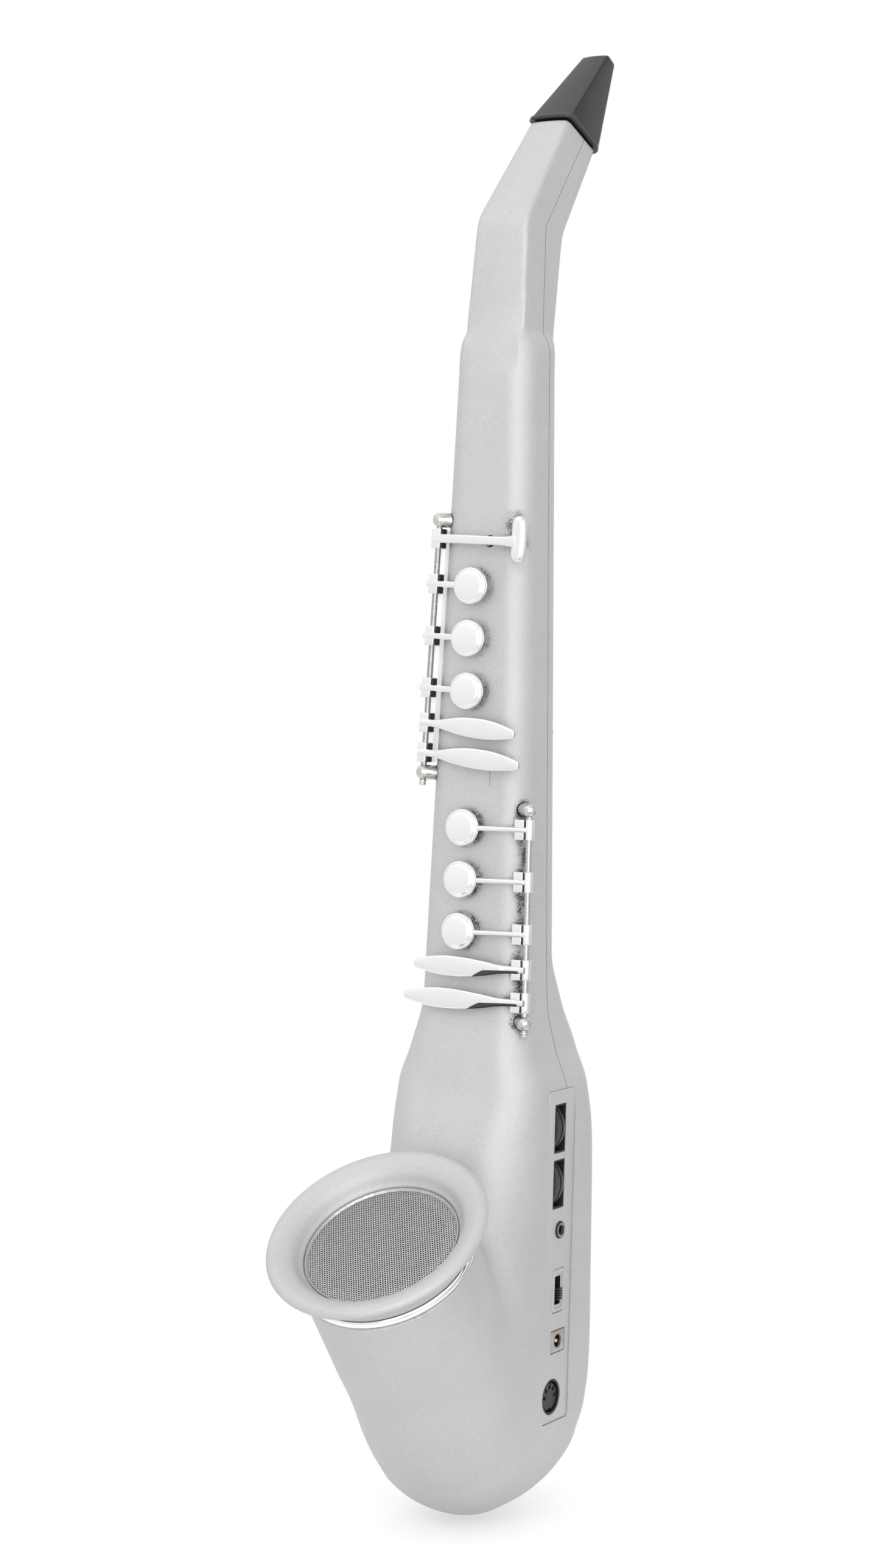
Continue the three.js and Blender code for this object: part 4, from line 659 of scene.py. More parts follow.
def metal_material(name, color, roughness, wear=0.25, dirt=0.0, scale=300.0):
    """Plated or plain metal with fine scratches and slightly uneven polish."""
    n = Nodes(name)
    cloud = n.noise(scale, 4.0, 0.6)
    fine = n.noise(scale * 8, 2.0, 0.5)
    dark = tuple(c * (1 - wear) for c in color)
    tone = n.mix(n.ramp(cloud, 0.35, 0.75), color, dark)
    if dirt:
        spots = n.ramp(n.noise(scale * 3, 3.0, 0.7), 0.60, 0.72, 0.0, dirt)
        tone = n.mix(spots, tone, (0.12, 0.1, 0.085))
    polish = n.ramp(cloud, 0.3, 0.7, roughness * 0.8, roughness * 1.4)
    n.principled(Base_Color=tone, Roughness=polish, Metallic=1.0)
    n.bump(fine, 0.04, 0.00005)
    return n.material


def plastic_material(name, color, roughness, grain=1500.0, vary=0.35, strength=0.15, painted_glow=0.0, edge_highlight=0.0):
    """Moulded plastic with a fine grain. It may have paler sharp edges, a painted highlight, and may glow a
    little, which is painted light.
    """
    n = Nodes(name)
    fine = n.noise(grain, 2.0, 0.5)
    cloud = n.noise(70.0, 3.0, 0.5)
    light = tuple(min(1.0, c * (1 + vary)) for c in color)
    tone = n.mix(n.ramp(cloud, 0.35, 0.65), color, light)
    if edge_highlight:
        # Paler sharp edges found by pointiness: a painted highlight.
        edge = n.ramp(n.add("NewGeometry").outputs["Pointiness"], 0.52, 0.57)
        tone = n.mix(edge, tone, (edge_highlight, edge_highlight, edge_highlight))
    polish = n.ramp(cloud, 0.3, 0.7, roughness * 0.85, min(1.0, roughness * 1.2))
    # Any emission here is painted light: the plastic is no lamp.
    n.principled(Base_Color=tone, Roughness=polish, Emission_Color=(1, 1, 1, 1), Emission_Strength=painted_glow)
    n.bump(fine, strength, 0.0001)
    return n.material


def board_material(name):
    """Green circuit board with a pattern of tracks."""
    n = Nodes(name)
    lines = n.add("TexBrick", Vector=n.coords(), Scale=260.0, Mortar_Size=0.012, Color1=(0.02, 0.11, 0.05, 1),
                  Color2=(0.025, 0.14, 0.06, 1), Mortar=(0.10, 0.26, 0.12, 1))
    n.principled(Base_Color=lines.outputs["Color"], Roughness=n.ramp(n.noise(400.0), 0.3, 0.7, 0.35, 0.5))
    return n.material


MAT = {
    "paint": paint_material("silver_paint"),
    # Paint with painted shade and dust near the keys.
    "dusty_shaded": paint_material("silver_paint_dusty_shaded", True),
    "chrome": metal_material("bright_plating", (0.91, 0.912, 0.92), 0.07, 0.03, 0.0, 120.0),
    "steel": metal_material("plain_steel", (0.56, 0.54, 0.51), 0.24, 0.3, 0.5, 700.0),
    "grille": metal_material("grille_metal", (0.60, 0.585, 0.59), 0.4, 0.2, 0.0, 500.0),
    "bell": paint_material("silver_paint_bell", False, 1.4),
    "pearl": metal_material("bright_caps", (0.945, 0.945, 0.95), 0.14, 0.01, 0.0, 120.0),
    "nickel": metal_material("dull_nickel", (0.72, 0.71, 0.69), 0.2, 0.3, 0.3, 400.0),
    # Near-black plating for the strip under the lower leaves: painted shade and painted dark reflection.
    "painted_shade": metal_material("plating_painted_shade", (0.10, 0.09, 0.10), 0.2, 0.3, 0.3, 400.0),
    "bright_rod": metal_material("polished_hinge_steel", (0.60, 0.59, 0.58), 0.14, 0.25, 0.2, 900.0),
    "rod": metal_material("hinge_steel", (0.50, 0.485, 0.47), 0.18, 0.35, 0.5, 900.0),
    # The rail glows a little: painted light that keeps it white in its shade.
    "rail": plastic_material("white_rail", (0.95, 0.95, 0.95), 0.4, 900.0, 0.05, 0.02, 0.3),
    "socket": metal_material("socket_tin", (0.62, 0.61, 0.60), 0.35, 0.2, 0.3, 600.0),
    "dull_brass": metal_material("old_brass", (0.38, 0.26, 0.14), 0.35, 0.3, 0.3, 600.0),
    # The mouthpiece's sharp edges are paler: a painted highlight.
    "mouth": plastic_material("mouthpiece_plastic", (0.009, 0.006, 0.009), 0.27, 900.0, 0.4, 0.04, 0.0, 0.16),
    "black": plastic_material("black_plastic", (0.016, 0.016, 0.018), 0.4),
    "panel": plastic_material("panel_plastic", (0.50, 0.50, 0.49), 0.5, 1200.0, 0.12),
    "joint": plastic_material("joint_shadow", (0.03, 0.03, 0.03), 0.9),
    "wheel": plastic_material("wheel_plastic", (0.06, 0.06, 0.063), 0.3),
    "rubber": plastic_material("grey_rubber", (0.05, 0.05, 0.052), 0.8),
    "paper": plastic_material("speaker_paper", (0.02, 0.02, 0.022), 0.95, 700.0, 0.5, 0.6),
    "brass": metal_material("contact_brass", (0.55, 0.36, 0.13), 0.3, 0.2),
    "cell": plastic_material("cell_sleeve", (0.22, 0.24, 0.27), 0.35),
    "board": board_material("green_board"),
}
# A node has the first look with a word that is part of its name. The others are plain steel.
NODE_LOOKS = {
    "cell": ("battery_cell",),
    "paper": ("speaker_cone",),
    "rubber": ("breath_tube", "key_contacts"),
    "board": ("board",),
    "brass": ("battery_contact",),
    "panel": ("side_panel",),
    "black": ("breath_sensor", "jack", "power_switch", "midi_socket", "wheel"),
    "chrome": ("key", "bell_ring", "thumb_hook"),
    "paint": ("shell", "bell", "battery_door", "upper_rail"),
    "mouth": ("mouthpiece",),
    "grille": ("grille",),
}


def dress(piece, look):
    """Gives a piece one material."""
    piece.data.materials.clear()
    piece.data.materials.append(MAT[look])


def dress_nodes():
    for name, node in NODES.items():
        looks = [look for look, words in NODE_LOOKS.items() if any(word in name for word in words)]
        dress(node, (looks + ["steel"])[0])


def finish(piece, body, node, angle=None):
    """Shades a piece, ties it to the body that it moves with, and puts it in a node's place."""
    if angle:
        shade(piece, angle)
    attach(piece, body)
    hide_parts(node)


# Skin.
def coordinates(mesh):
    co = np.zeros(len(mesh.vertices) * 3)
    mesh.vertices.foreach_get("co", co)
    return co.reshape(-1, 3)


def relax(obj, rounds, weight, pick=None):
    """Evens out a mesh by moving each point towards its neighbours' middle, then back a little."""
    mesh = obj.data
    co = coordinates(mesh)
    count = len(co)
    edges = np.zeros(len(mesh.edges) * 2, int)
    mesh.edges.foreach_get("vertices", edges)
    edges = edges.reshape(-1, 2)
    degree = np.bincount(edges.ravel(), minlength=count)[:, None]
    share = np.full((count, 1), weight) if pick is None else weight * pick(co)[:, None]

    def step(amount):
        total = np.zeros_like(co)
        for axis in range(3):
            total[:, axis] = (np.bincount(edges[:, 0], co[edges[:, 1], axis], count)
                              + np.bincount(edges[:, 1], co[edges[:, 0], axis], count))
        return co + share * amount * (total / np.maximum(degree, 1) - co)

    for _ in range(rounds):
        co = step(1.0)
        if pick is None:
            co = step(-1.02)
    mesh.vertices.foreach_set("co", co.ravel())
    mesh.update()


# Where the skin is eased: near the crease under the bell tube, and at the shoulder under the neck.
VOXEL = 0.0009
CREASE_TOP, CREASE_BACK, CREASE_REACH, CREASE_FADE = 215, 5, 9, 5
SHOULDER_MIDDLE, SHOULDER_SPREAD, SHOULDER_FADE = 497.0, 17.0, 3.0
SHOULDER_FRONT, SHOULDER_HALF = -9.5, 13.0


def make_skin():
    """Body, neck and bell tube as one skin, remeshed and eased where they meet."""
    body = body_solid("body_form")
    neck = neck_solid("neck_form")
    tube = tube_solid("tube_form", 0.0, LIP_TO_TUBE + 0.3, LIP_TO_TUBE + TUBE_LENGTH)
    trees = []
    for obj in (body, tube):
        points = [v.co.copy() for v in obj.data.vertices]
        trees.append(BVHTree.FromPolygons(points, [tuple(p.vertices) for p in obj.data.polygons]))
    skin = joined("skin", [body, neck, tube])
    modifier = skin.modifiers.new("remesh", "REMESH")
    modifier.mode = "VOXEL"
    modifier.voxel_size = VOXEL
    bake(skin)

    def near_crease(co):
        weights = np.zeros(len(co))
        low = (co[:, 2] / MM - SHIFT.z < CREASE_TOP) & (co[:, 1] / MM - SHIFT.y < CREASE_BACK)
        for i in np.nonzero(low)[0]:
            point = Vector(co[i])
            far = max(tree.find_nearest(point)[3] or 1.0 for tree in trees) / MM
            if far < CREASE_REACH:
                weights[i] = min(1.0, (CREASE_REACH - far) / CREASE_FADE)
        return weights

    def near_shoulder(co):
        x, y, z = (co[:, k] / MM - SHIFT[k] for k in range(3))
        up = np.clip(1 - np.abs(z - SHOULDER_MIDDLE) / SHOULDER_SPREAD, 0, 1)
        front, inward = (SHOULDER_FRONT - y) / SHOULDER_FADE, (SHOULDER_HALF - np.abs(x)) / SHOULDER_FADE
        return np.clip(up * 2.5, 0, 1) * np.clip(front, 0, 1) * np.clip(inward, 0, 1)

    relax(skin, 8, 0.5)
    relax(skin, 220, 0.9, near_shoulder)
    relax(skin, 120, 0.9, near_crease)
    lowest = cad_box[0][2] + 1e-5
    for vertex in skin.data.vertices:
        vertex.co.z = max(vertex.co.z, lowest)
    return skin


# Key stacks: Z runs along the rod, X points to the touchpieces and -Y to the front.
ROD_BEHIND = 1.9


def rod_point(side, height, outward):
    """A point of a hinge line, beside the stem at a height."""
    share = (height - BOW_HEIGHT) / (STEM_TOP - BOW_HEIGHT)
    half, front = blend(STEM["half"], share), blend(STEM["front"], share)
    return Vector((side * (half + outward), ROD_BEHIND - front, height))


def stack_frame(side, start, end):
    """A key stack's frame, and the length of its rod between the posts."""
    z = (end - start).normalized()
    y = z.cross(Vector((-side, 0, 0))).normalized()
    x = y.cross(z)
    return Matrix.Translation(start) @ Matrix((x, y, z)).transposed().to_4x4(), (end - start).length


UPPER, UPPER_LENGTH = stack_frame(-1, rod_point(-1, 314.5, 3.2), rod_point(-1, 420.0, 2.0))
LOWER, LOWER_LENGTH = stack_frame(1, rod_point(1, 301.1, 3.2), rod_point(1, 213.1, 2.0))
STACKS = {"upper": (UPPER, UPPER_LENGTH), "lower": (LOWER, LOWER_LENGTH)}
POST_DIRECTION = Vector((12.0, 8.1, 0)).normalized()

# Each key: its stack, its share of the rod, its kind and its reach.
KEYS = {
    "upper_leaf_key_2": ("upper", 0.078, "leaf", 50.1), "upper_leaf_key_1": ("upper", 0.197, "leaf", 47.1),
    "upper_disc_key_3": ("upper", 0.336, "disc", 22.4), "upper_disc_key_2": ("upper", 0.542, "disc", 21.2),
    "upper_disc_key_1": ("upper", 0.747, "disc", 20.9), "upper_tee_key": ("upper", 0.926, "tee", 42.5),
    "lower_disc_key_1": ("lower", 0.092, "disc", 28.2), "lower_disc_key_2": ("lower", 0.337, "disc", 28.6),
    "lower_disc_key_3": ("lower", 0.582, "disc", 29.0), "lower_leaf_key_1": ("lower", 0.748, "leaf", 49.5),
    "lower_leaf_key_2": ("lower", 0.902, "leaf", 53.9),
}
PIN_REACH = {"leaf": 30.0, "tee": 26.0}


def key_frame(name):
    """A key's frame, with its origin on the rod."""
    stack, share, _, _ = KEYS[name]
    at, length = STACKS[stack]
    return at @ Matrix.Translation((0, 0, share * length))


# Socket panel, in places along Y and Z, with its faces at these distances along X.
PANEL_FRONT, PANEL_BACK, PANEL_LOW, PANEL_HIGH, PANEL_CORNER = 11.6, 10.6, 44.0, 184.0, 2.0
PANEL_OUT, PANEL_IN = 34.7, 33.1
CUT_IN, CUT_OUT = 26.0, 40.0
MIDI_Y, MIDI_Z, MIDI_RADIUS = -3.3, 54.8, 7.3


def along_x(x, y, z):
    """A frame whose Z points along the model's X, and whose X points to the back."""
    return Matrix(((0, 0, 1, x), (1, 0, 0, y), (0, 1, 0, z), (0, 0, 0, 1)))


def panel_prism(name, margin, low, high, bevel=0.0):
    shape = rounded(PANEL_FRONT + PANEL_BACK + margin * 2, PANEL_HIGH - PANEL_LOW + margin * 2,
                    PANEL_CORNER + max(margin, 0),
                    centre=((PANEL_BACK - PANEL_FRONT) / 2, (PANEL_HIGH + PANEL_LOW) / 2))
    return outline_prism(name, shape, low, high, bevel, None, 35, along_x(0, 0, 0))


def panel_cuts():
    middle = (MIDI_Y, MIDI_Z)
    return [
        panel_prism("cut", 0.15, PANEL_IN - 0.3, CUT_OUT),
        panel_prism("cut", -2.0, CUT_IN, CUT_OUT),
        rod("cut", (CUT_IN, *middle), (CUT_OUT, *middle), MIDI_RADIUS + 0.4, segments=64),
    ]


# Seam: points of (y, z), and on the neck shares of its depth. It is nearly closed below the panel.
SEAM_PATH = [(3.69, -24.0), (3.69, 60.0), (3.69, 62.0), (3.69, 184.8), (0.82, 216.0), (0.0, BOW_HEIGHT),
             (0.0, STEM_TOP)]
SEAM_NECK_SHARES = (0.56, 0.47, 0.55, 0.55)
SEAM_OVERRUN = 19.0
SEAM_CLOSED_BELOW, SEAM_CLOSED_SHARE = 61.0, 0.1
SEAM_BACK, SEAM_SIDE = 160.0, 70.0


def behind_seam(name, offset):
    """All that lies behind the seam's line moved back by an offset. It leaves the faces it cuts dark."""
    line = list(SEAM_PATH)
    stations = (NECK_FOOT, NECK_BEND, NECK_TOP, past_neck_top(SEAM_OVERRUN))
    for (_, front, back), share in zip(stations, SEAM_NECK_SHARES):
        line.append(tuple(blend(pair, share) for pair in zip(front, back)))
    line = [(y + offset * (SEAM_CLOSED_SHARE if z < SEAM_CLOSED_BELOW else 1.0), z) for y, z in line]
    outline = line + [(SEAM_BACK, line[-1][1]), (SEAM_BACK, line[0][1])]
    return outline_prism(name, outline, -SEAM_SIDE, SEAM_SIDE, 0.0, "joint", 0, along_x(0, 0, 0))


# Battery bay.
BAY_HALF, BAY_LOW, BAY_HIGH, BAY_FRONT, TRAY_WALL = 22.8, 56.0, 161.5, 20.9, 1.6
DOOR_MARGIN, DOOR_THICK, DOOR_DEPTH, DOOR_GAP = 2.6, 2.0, 31.0, 0.25
BAY_CLEAR = 48.0


def bay_prism(name, margin, low, high):
    """The battery bay's outline in X and Z, pushed along Y."""
    middle = (BAY_HIGH + BAY_LOW) / 2
    shape = rounded((BAY_HALF + margin) * 2, BAY_HIGH - BAY_LOW + margin * 2, TRAY_WALL + margin)
    turn = Matrix(((1, 0, 0, 0), (0, 0, -1, 0), (0, 1, 0, middle), (0, 0, 0, 1)))
    return outline_prism(name, shape, -high, -low, 0.0, None, 0, turn)


# Octave keys and their lugs on the rear shell.
OCTAVE_HINGES = {"octave_down_key": 391.0, "octave_up_key": 413.0}
OCTAVE_PIN_UP, OCTAVE_PIN = 11.0, 1.5
LUG_X, LUG_THICK, LUG_REACH, TRUNNION = 6.8, 2.0, 4.0, 1.1
ROD_FIT = 0.06


def octave_lug(side, height):
    back = back_at(height)
    shape = [(back - 3.2, height - 3.4), (back + 1.2, height - 3.2)]
    shape += [(back + 2.0 + 2.5 * c, height + 2.5 * s) for c, s in arc(-70, 90, 9)]
    shape += [(back + 1.2, height + 3.2), (back - 3.2, height + 3.4)]
    half = LUG_THICK / 2
    return outline_prism("lug", shape, -half, half, 0.3, None, 35, along_x(side * LUG_X, 0, 0))


def octave_bores():
    """Holes for the octave keys' trunnions and pins."""
    bores = []
    for height in OCTAVE_HINGES.values():
        back, up = back_at(height), height + OCTAVE_PIN_UP
        bores.append(rod("bore", (-30, back + 2, height), (30, back + 2, height), TRUNNION + ROD_FIT))
        bores.append(rod("hole", (0, back - 5, up), (0, back + 3, up), OCTAVE_PIN + 0.8))
    return bores


KEY_HOLE, POST_HOLE, HOLE_REACH = 2.5, 3.25, 4.0


def front_holes():
    """Holes for the key pins and the hinge posts."""
    holes = []
    for name, (_, _, kind, reach) in KEYS.items():
        x = PIN_REACH.get(kind, reach)
        holes.append(rod("hole", (x, -HOLE_REACH, 0), (x, HOLE_REACH, 0), KEY_HOLE, matrix=key_frame(name)))
    for at, length in STACKS.values():
        for z in (0, length):
            start, end = POST_DIRECTION * 1.5, POST_DIRECTION * 11.2
            holes.append(rod("hole", (start.x, start.y, z), (end.x, end.y, z), POST_HOLE, matrix=at))
    return holes


def set_attribute(obj, name, values):
    layer = obj.data.attributes.new(name, "FLOAT", "POINT")
    layer.data.foreach_set("value", values)


def points_of(obj):
    """An object's points in the foot's frame, in millimetres."""
    return coordinates(obj.data) / MM - np.array(SHIFT)


def near_segment(points, start, end):
    """Distance of points from a line between two points."""
    start, end = np.array(start, float), np.array(end, float)
    along = end - start
    share = np.clip(((points - start) @ along) / max(along @ along, 1e-9), 0, 1)
    return np.linalg.norm(points - (start + share[:, None] * along), axis=1)


def make_shells():
    """The front and rear shells, hollow and split at the seam, and the battery lid cut from them."""
    outer = make_skin()
    # Its paint carries painted shade and dust near the keys.
    dress(outer, "dusty_shaded")
    lid = bay_prism("battery_lid", DOOR_MARGIN, DOOR_DEPTH, BAY_CLEAR)
    combine(lid, [copy_of(outer, "outer")], "INTERSECT")
    combine(lid, [body_solid("inside", DOOR_THICK)])

    inner = body_solid("inside", WALL)
    tube = tube_solid("tube_inside", TUBE_WALL, LIP_TO_TUBE - 3, LIP_TO_TUBE + TUBE_LENGTH - 3)
    combine(inner, [neck_solid("neck_inside", WALL, 6.0), tube], "UNION")
    combine(inner, [panel_prism("frame", 2.0, PANEL_IN - 2.3, CUT_OUT)])
    shell = combine(outer, [inner])

    rear = combine(copy_of(shell, "rear_skin"), [behind_seam("rear_side", SEAM)], "INTERSECT")
    front = combine(shell, [behind_seam("rear_side", 0.0)])
    front.name = "front_skin"

    tray = bay_prism("tray", TRAY_WALL, BAY_FRONT - TRAY_WALL, 41.0)
    combine(tray, [bay_prism("rim", DOOR_MARGIN + TRAY_WALL, DOOR_DEPTH, 41.0)], "UNION")
    combine(tray, [body_solid("inside", WALL / 2)], "INTERSECT")
    lugs = [octave_lug(side, height) for height in OCTAVE_HINGES.values() for side in (-1, 1)]
    combine(rear, [tray] + lugs, "UNION")
    recess = bay_prism("recess", DOOR_MARGIN + DOOR_GAP, DOOR_DEPTH, BAY_CLEAR)
    combine(recess, [body_solid("inside", DOOR_THICK + 0.3)])
    combine(rear, [recess, bay_prism("bay", 0.0, BAY_FRONT, BAY_CLEAR), joined("holes", octave_bores())])
    combine(front, [joined("holes", front_holes())])
    for half in (front, rear):
        combine(half, panel_cuts())
    return front, rear, lid


def dust_and_shade_levels(points):
    """How much painted shade and dust the skin holds near the keys, hubs, arms, rods and posts: a share from
    0 to 1.
    """
    level = np.zeros(len(points))

    def add(distance, inner, outer, strength):
        share = np.clip((outer - distance) / (outer - inner), 0, 1)
        np.maximum(level, strength * share * share * (3 - 2 * share), out=level)

    def line(at, start, end, y=1.5):
        """Distance from a line between two places of (x, z) in a stack's frame."""
        return near_segment(points, *(at @ Vector((x, y, z)) for x, z in (start, end)))

    for name, (stack, _, kind, reach) in KEYS.items():
        at = key_frame(name)
        lower = stack == "lower"
        add(line(at, (2.2, -4), (2.2, 4)), 1.5, 8.0 if lower else 4.5, 1.0 if lower else 0.85)
        if kind == "disc":
            # A ring of painted shadow and dust round each disc's edge.
            rim = np.abs(line(at, (reach, 0), (reach + 0.1, 0)) - 6.9)
            add(rim, 0.8, 3.8, 0.8 if lower else 0.55)
            add(line(at, (3, 0), (reach - 7, 0)), 1.0, 4.2, 0.85 if lower else 0.55)
            if lower:
                add(line(at, (reach - 8, -3.5), (reach - 13, -3.5)), 0.5, 4.5, 0.9)
        elif kind == "leaf":
            add(line(at, (4, 0), (reach - 11, 0)), 1.5, 7.6, 0.62)
            add(line(at, (3, 0), (14, 0)), 1.5, 6.0, 0.95 if lower else 0.5)
            if not lower:
                z = 5.5 if name.endswith("2") else -6.0
                add(line(at, (22, z), (37, z)), 0.5, 4.0, 0.95)
        else:
            add(line(at, (4, 0), (reach - 2, 0)), 1.0, 5.0, 0.75)
            add(line(at, (reach - 8, 0), (reach - 7, 9)), 1.5, 7.0, 0.95)
    add(line(LOWER, (2.6, 1.0), (2.6, LOWER_LENGTH), 1.8), 1.2, 5.2, 1.0)
    add(line(UPPER, (7.0, 3.0), (7.0, UPPER_LENGTH), 4.5), 0.5, 2.6, 0.45)
    for at, length in STACKS.values():
        for z in (0, length):
            centre = at @ Vector((*(POST_DIRECTION * 4)[:2], z))
            add(np.abs(near_segment(points, centre, centre) - 3.4), 0.5, 2.6, 0.85)
    return level


# Bell, its ring and grille, and the mouthpiece.
BELL_FOOT = 13.7
# The lip's points, as shares of its radius and of the depth of the bell's foot.
LIP = [(0.727, 0.44), (0.78, 0.15), (0.87, -0.04), (0.92, -0.09), (0.98, -0.045), (1.0, 0.07),
       (0.985, 0.19), (0.91, 0.33), (0.835, 0.58), (0.79, 0.88)]
# The rest of the bell in millimetres: its foot, the speaker's seat and the seat of the grille.
THROAT = [(36.2, -12.9), (35.9, -13.55), (35.5, -13.7), (32.7, -13.7), (32.7, -28.0), (30.8, -28.0),
          (30.8, -8.7), (32.7, -8.7), (32.7, -7.3), (33.0, -6.7)]
RING_FACE, RING_BULGE, RING_LOW, RING_HIGH, RING_BACK = 36.8, 0.65, -17.2, -14.0, 33.0


def smooth_curve(points):
    """A smooth open curve through points."""
    steps = 6
    points = np.asarray(points, float)
    run = run_along(points)
    slope = np.gradient(points, run, axis=0)
    out = [points[0]]
    for i in range(len(points) - 1):
        for k in range(1, steps + 1):
            span = run[i + 1] - run[i]
            out.append(hermite(points[i], points[i + 1], slope[i], slope[i + 1], span, k / steps))
    return [tuple(p) for p in out]


def on_bell(name, profile, look):
    return lathe(name, profile, 192, look, 35.0, BELL_FRAME)


def make_bell():
    flare = smooth_curve([(out * LIP_RADIUS, -down * BELL_FOOT) for out, down in LIP])
    return on_bell("bell_flare", (flare + THROAT)[::-1], "bell")


def make_bell_ring():
    face = [(RING_FACE - RING_BULGE * abs(2 * k / 10 - 1) ** 3, blend((RING_LOW, RING_HIGH), k / 10))
            for k in range(11)]
    return on_bell("bell_band", face + [(RING_BACK, RING_HIGH), (RING_BACK, RING_LOW)], "chrome")


GRILLE_PITCH, GRILLE_HOLE, GRILLE_REACH = 1.15, 0.44, 31.3
GRILLE_TOP, GRILLE_THICK, GRILLE_RADIUS, GRILLE_SAG = -7.6, 0.5, 32.2, 0.6


def make_grille():
    """Perforated sheet: a hole in each cell of a honeycomb, and a folded rim round it."""
    corner = GRILLE_PITCH / math.sqrt(3)
    found, points, top = {}, [], []

    def vertex(x, y):
        """The index of a corner, which is shared with the cells that already have it."""
        key = (round(x * 200), round(y * 200))
        for near in ((a, b) for a in (-1, 0, 1) for b in (-1, 0, 1)):
            hit = found.get((key[0] + near[0], key[1] + near[1]))
            if hit is not None:
                return hit
        found[key] = len(points)
        points.append((x, y))
        return found[key]

    rows = int(GRILLE_REACH / (GRILLE_PITCH * math.sqrt(3) / 2)) + 1
    edges = {}
    for row in range(-rows, rows + 1):
        y = row * GRILLE_PITCH * math.sqrt(3) / 2
        for column in range(-rows - 2, rows + 3):
            x = (column + (0.5 if row % 2 else 0.0)) * GRILLE_PITCH
            if math.hypot(x, y) > GRILLE_REACH:
                continue
            turns = [math.radians(60 * k + 30) for k in range(6)]
            outer = [vertex(x + corner * math.cos(t), y + corner * math.sin(t)) for t in turns]
            inner = list(range(len(points), len(points) + 6))
            points.extend((x + GRILLE_HOLE * math.cos(t), y + GRILLE_HOLE * math.sin(t)) for t in turns)
            for k in range(6):
                n = (k + 1) % 6
                top.append((outer[k], outer[n], inner[n], inner[k]))
                for a, b in ((outer[k], outer[n]), (inner[n], inner[k])):
                    if (b, a) in edges:
                        del edges[(b, a)]
                    else:
                        edges[(a, b)] = True
    count = len(points)
    faces = list(top) + [tuple(v + count for v in reversed(face)) for face in top]
    faces += [(b, a, a + count, b + count) for a, b in edges]
    sag = GRILLE_SAG / GRILLE_RADIUS ** 2
    solid = [(x, y, GRILLE_TOP - sag * (x * x + y * y)) for x, y in points]
    solid += [(x, y, z - GRILLE_THICK) for x, y, z in solid]
    sheet = new_object("grille_sheet", solid, faces, "grille", 20, BELL_FRAME)
    rim = on_bell("grille_rim", [(31.0, -8.6), (32.15, -8.6), (32.2, -8.4), (32.2, -7.5), (32.0, -7.3),
                                 (31.7, -7.3), (31.2, -7.9), (31.0, -8.1)], "grille")
    return joined("grille_cover", [sheet, rim])


# Mouthpiece: half widths at foot and tip, and the tip's place from the neck's top as (back, up).
BEAK_HALF = (10.4, 6.4)
TIP_FRONT, TIP_BACK = (40.0, 34.9), (19.4, 42.6)
BEAK_START, TIP_START, TIP_ROUND = 1.2, 0.955, 1.6
COLLAR_BULGE, SPIGOT_INSET, BORE_RADIUS = 1.35, 2.75, 1.9


def beak_row(share):
    """The mouthpiece's section at a share of the way from its foot to its tip."""
    _, front, back = past_neck_top(BEAK_START)
    _, front_top, back_top = past_neck_top(0.0)
    tip_front, tip_back = front_top + np.array(TIP_FRONT), back_top + np.array(TIP_BACK)
    return blend(BEAK_HALF, share), blend((front, tip_front), share), blend((back, tip_back), share)


def make_mouthpiece():
    rings = []
    shares = np.concatenate([np.linspace(0, 0.95, 30), np.linspace(TIP_START, 1.0, 10)])
    for share in shares:
        half, front, back = beak_row(share)
        end = max(0.0, (share - TIP_START) / (1 - TIP_START))
        inset = TIP_ROUND * (1 - math.sqrt(max(0.0, 1 - end * end)))
        round_front = 0.8 + 0.3 * share
        round_back = 4.0 - 2.2 * share
        rings.append(leaning_ring(half, front, back, inset, round_front + inset, round_back + inset, 0.5))
    beak = loft("mouth_beak", rings, "mouth", 0)
    lip = []
    for k in range(13):
        turn = math.pi * (k / 12)
        row = past_neck_top(1.0 + COLLAR_BULGE * (1 - math.cos(turn)))
        lip.append(leaning_ring(*row, 0.1 - COLLAR_BULGE * math.sin(turn), 1.5, 5.0, 0.5))
    collar = loft("mouth_collar", lip, "mouth", 0)
    ends = [leaning_ring(*past_neck_top(up), SPIGOT_INSET, 1.5, 5.0) for up in (-9.0, 1.9)]
    spigot = loft("mouth_spigot", ends, "mouth", 0)
    combine(beak, [collar, spigot], "UNION")
    start, end = ((0.0, *((front + back) / 2)) for _, front, back in (past_neck_top(-13.0), beak_row(1.1)))
    combine(beak, [rod("bore", start, end, BORE_RADIUS)])
    beak.name = "mouthpiece_beak"
    return beak


# Keys.
ROD_RADIUS = 1.25
HUB_LENGTH = 8.4
PIN_RADIUS, PIN_END = 2.0, 1.0


def capsule(name, start, end, radius, look, matrix=None):
    """A bar with round ends."""
    local, length = axis_matrix(start, end, matrix)
    profile = [(0, -radius)]
    profile += [(radius * c, radius * s) for c, s in arc(-90, 0, 7)[1:]]
    profile += [(radius * c, length + radius * s) for c, s in arc(0, 90, 7)[:-1]]
    profile.append((0, length + radius))
    return lathe(name, profile, 24, look, 50.0, local)


FORWARD = Matrix(((1, 0, 0, 0), (0, 0, -1, 0), (0, 1, 0, 0), (0, 0, 0, 1)))


def forward_at(x, y, z=0.0):
    """A frame at a point, whose Z points to the front."""
    return Matrix.Translation((x, y, z)) @ FORWARD


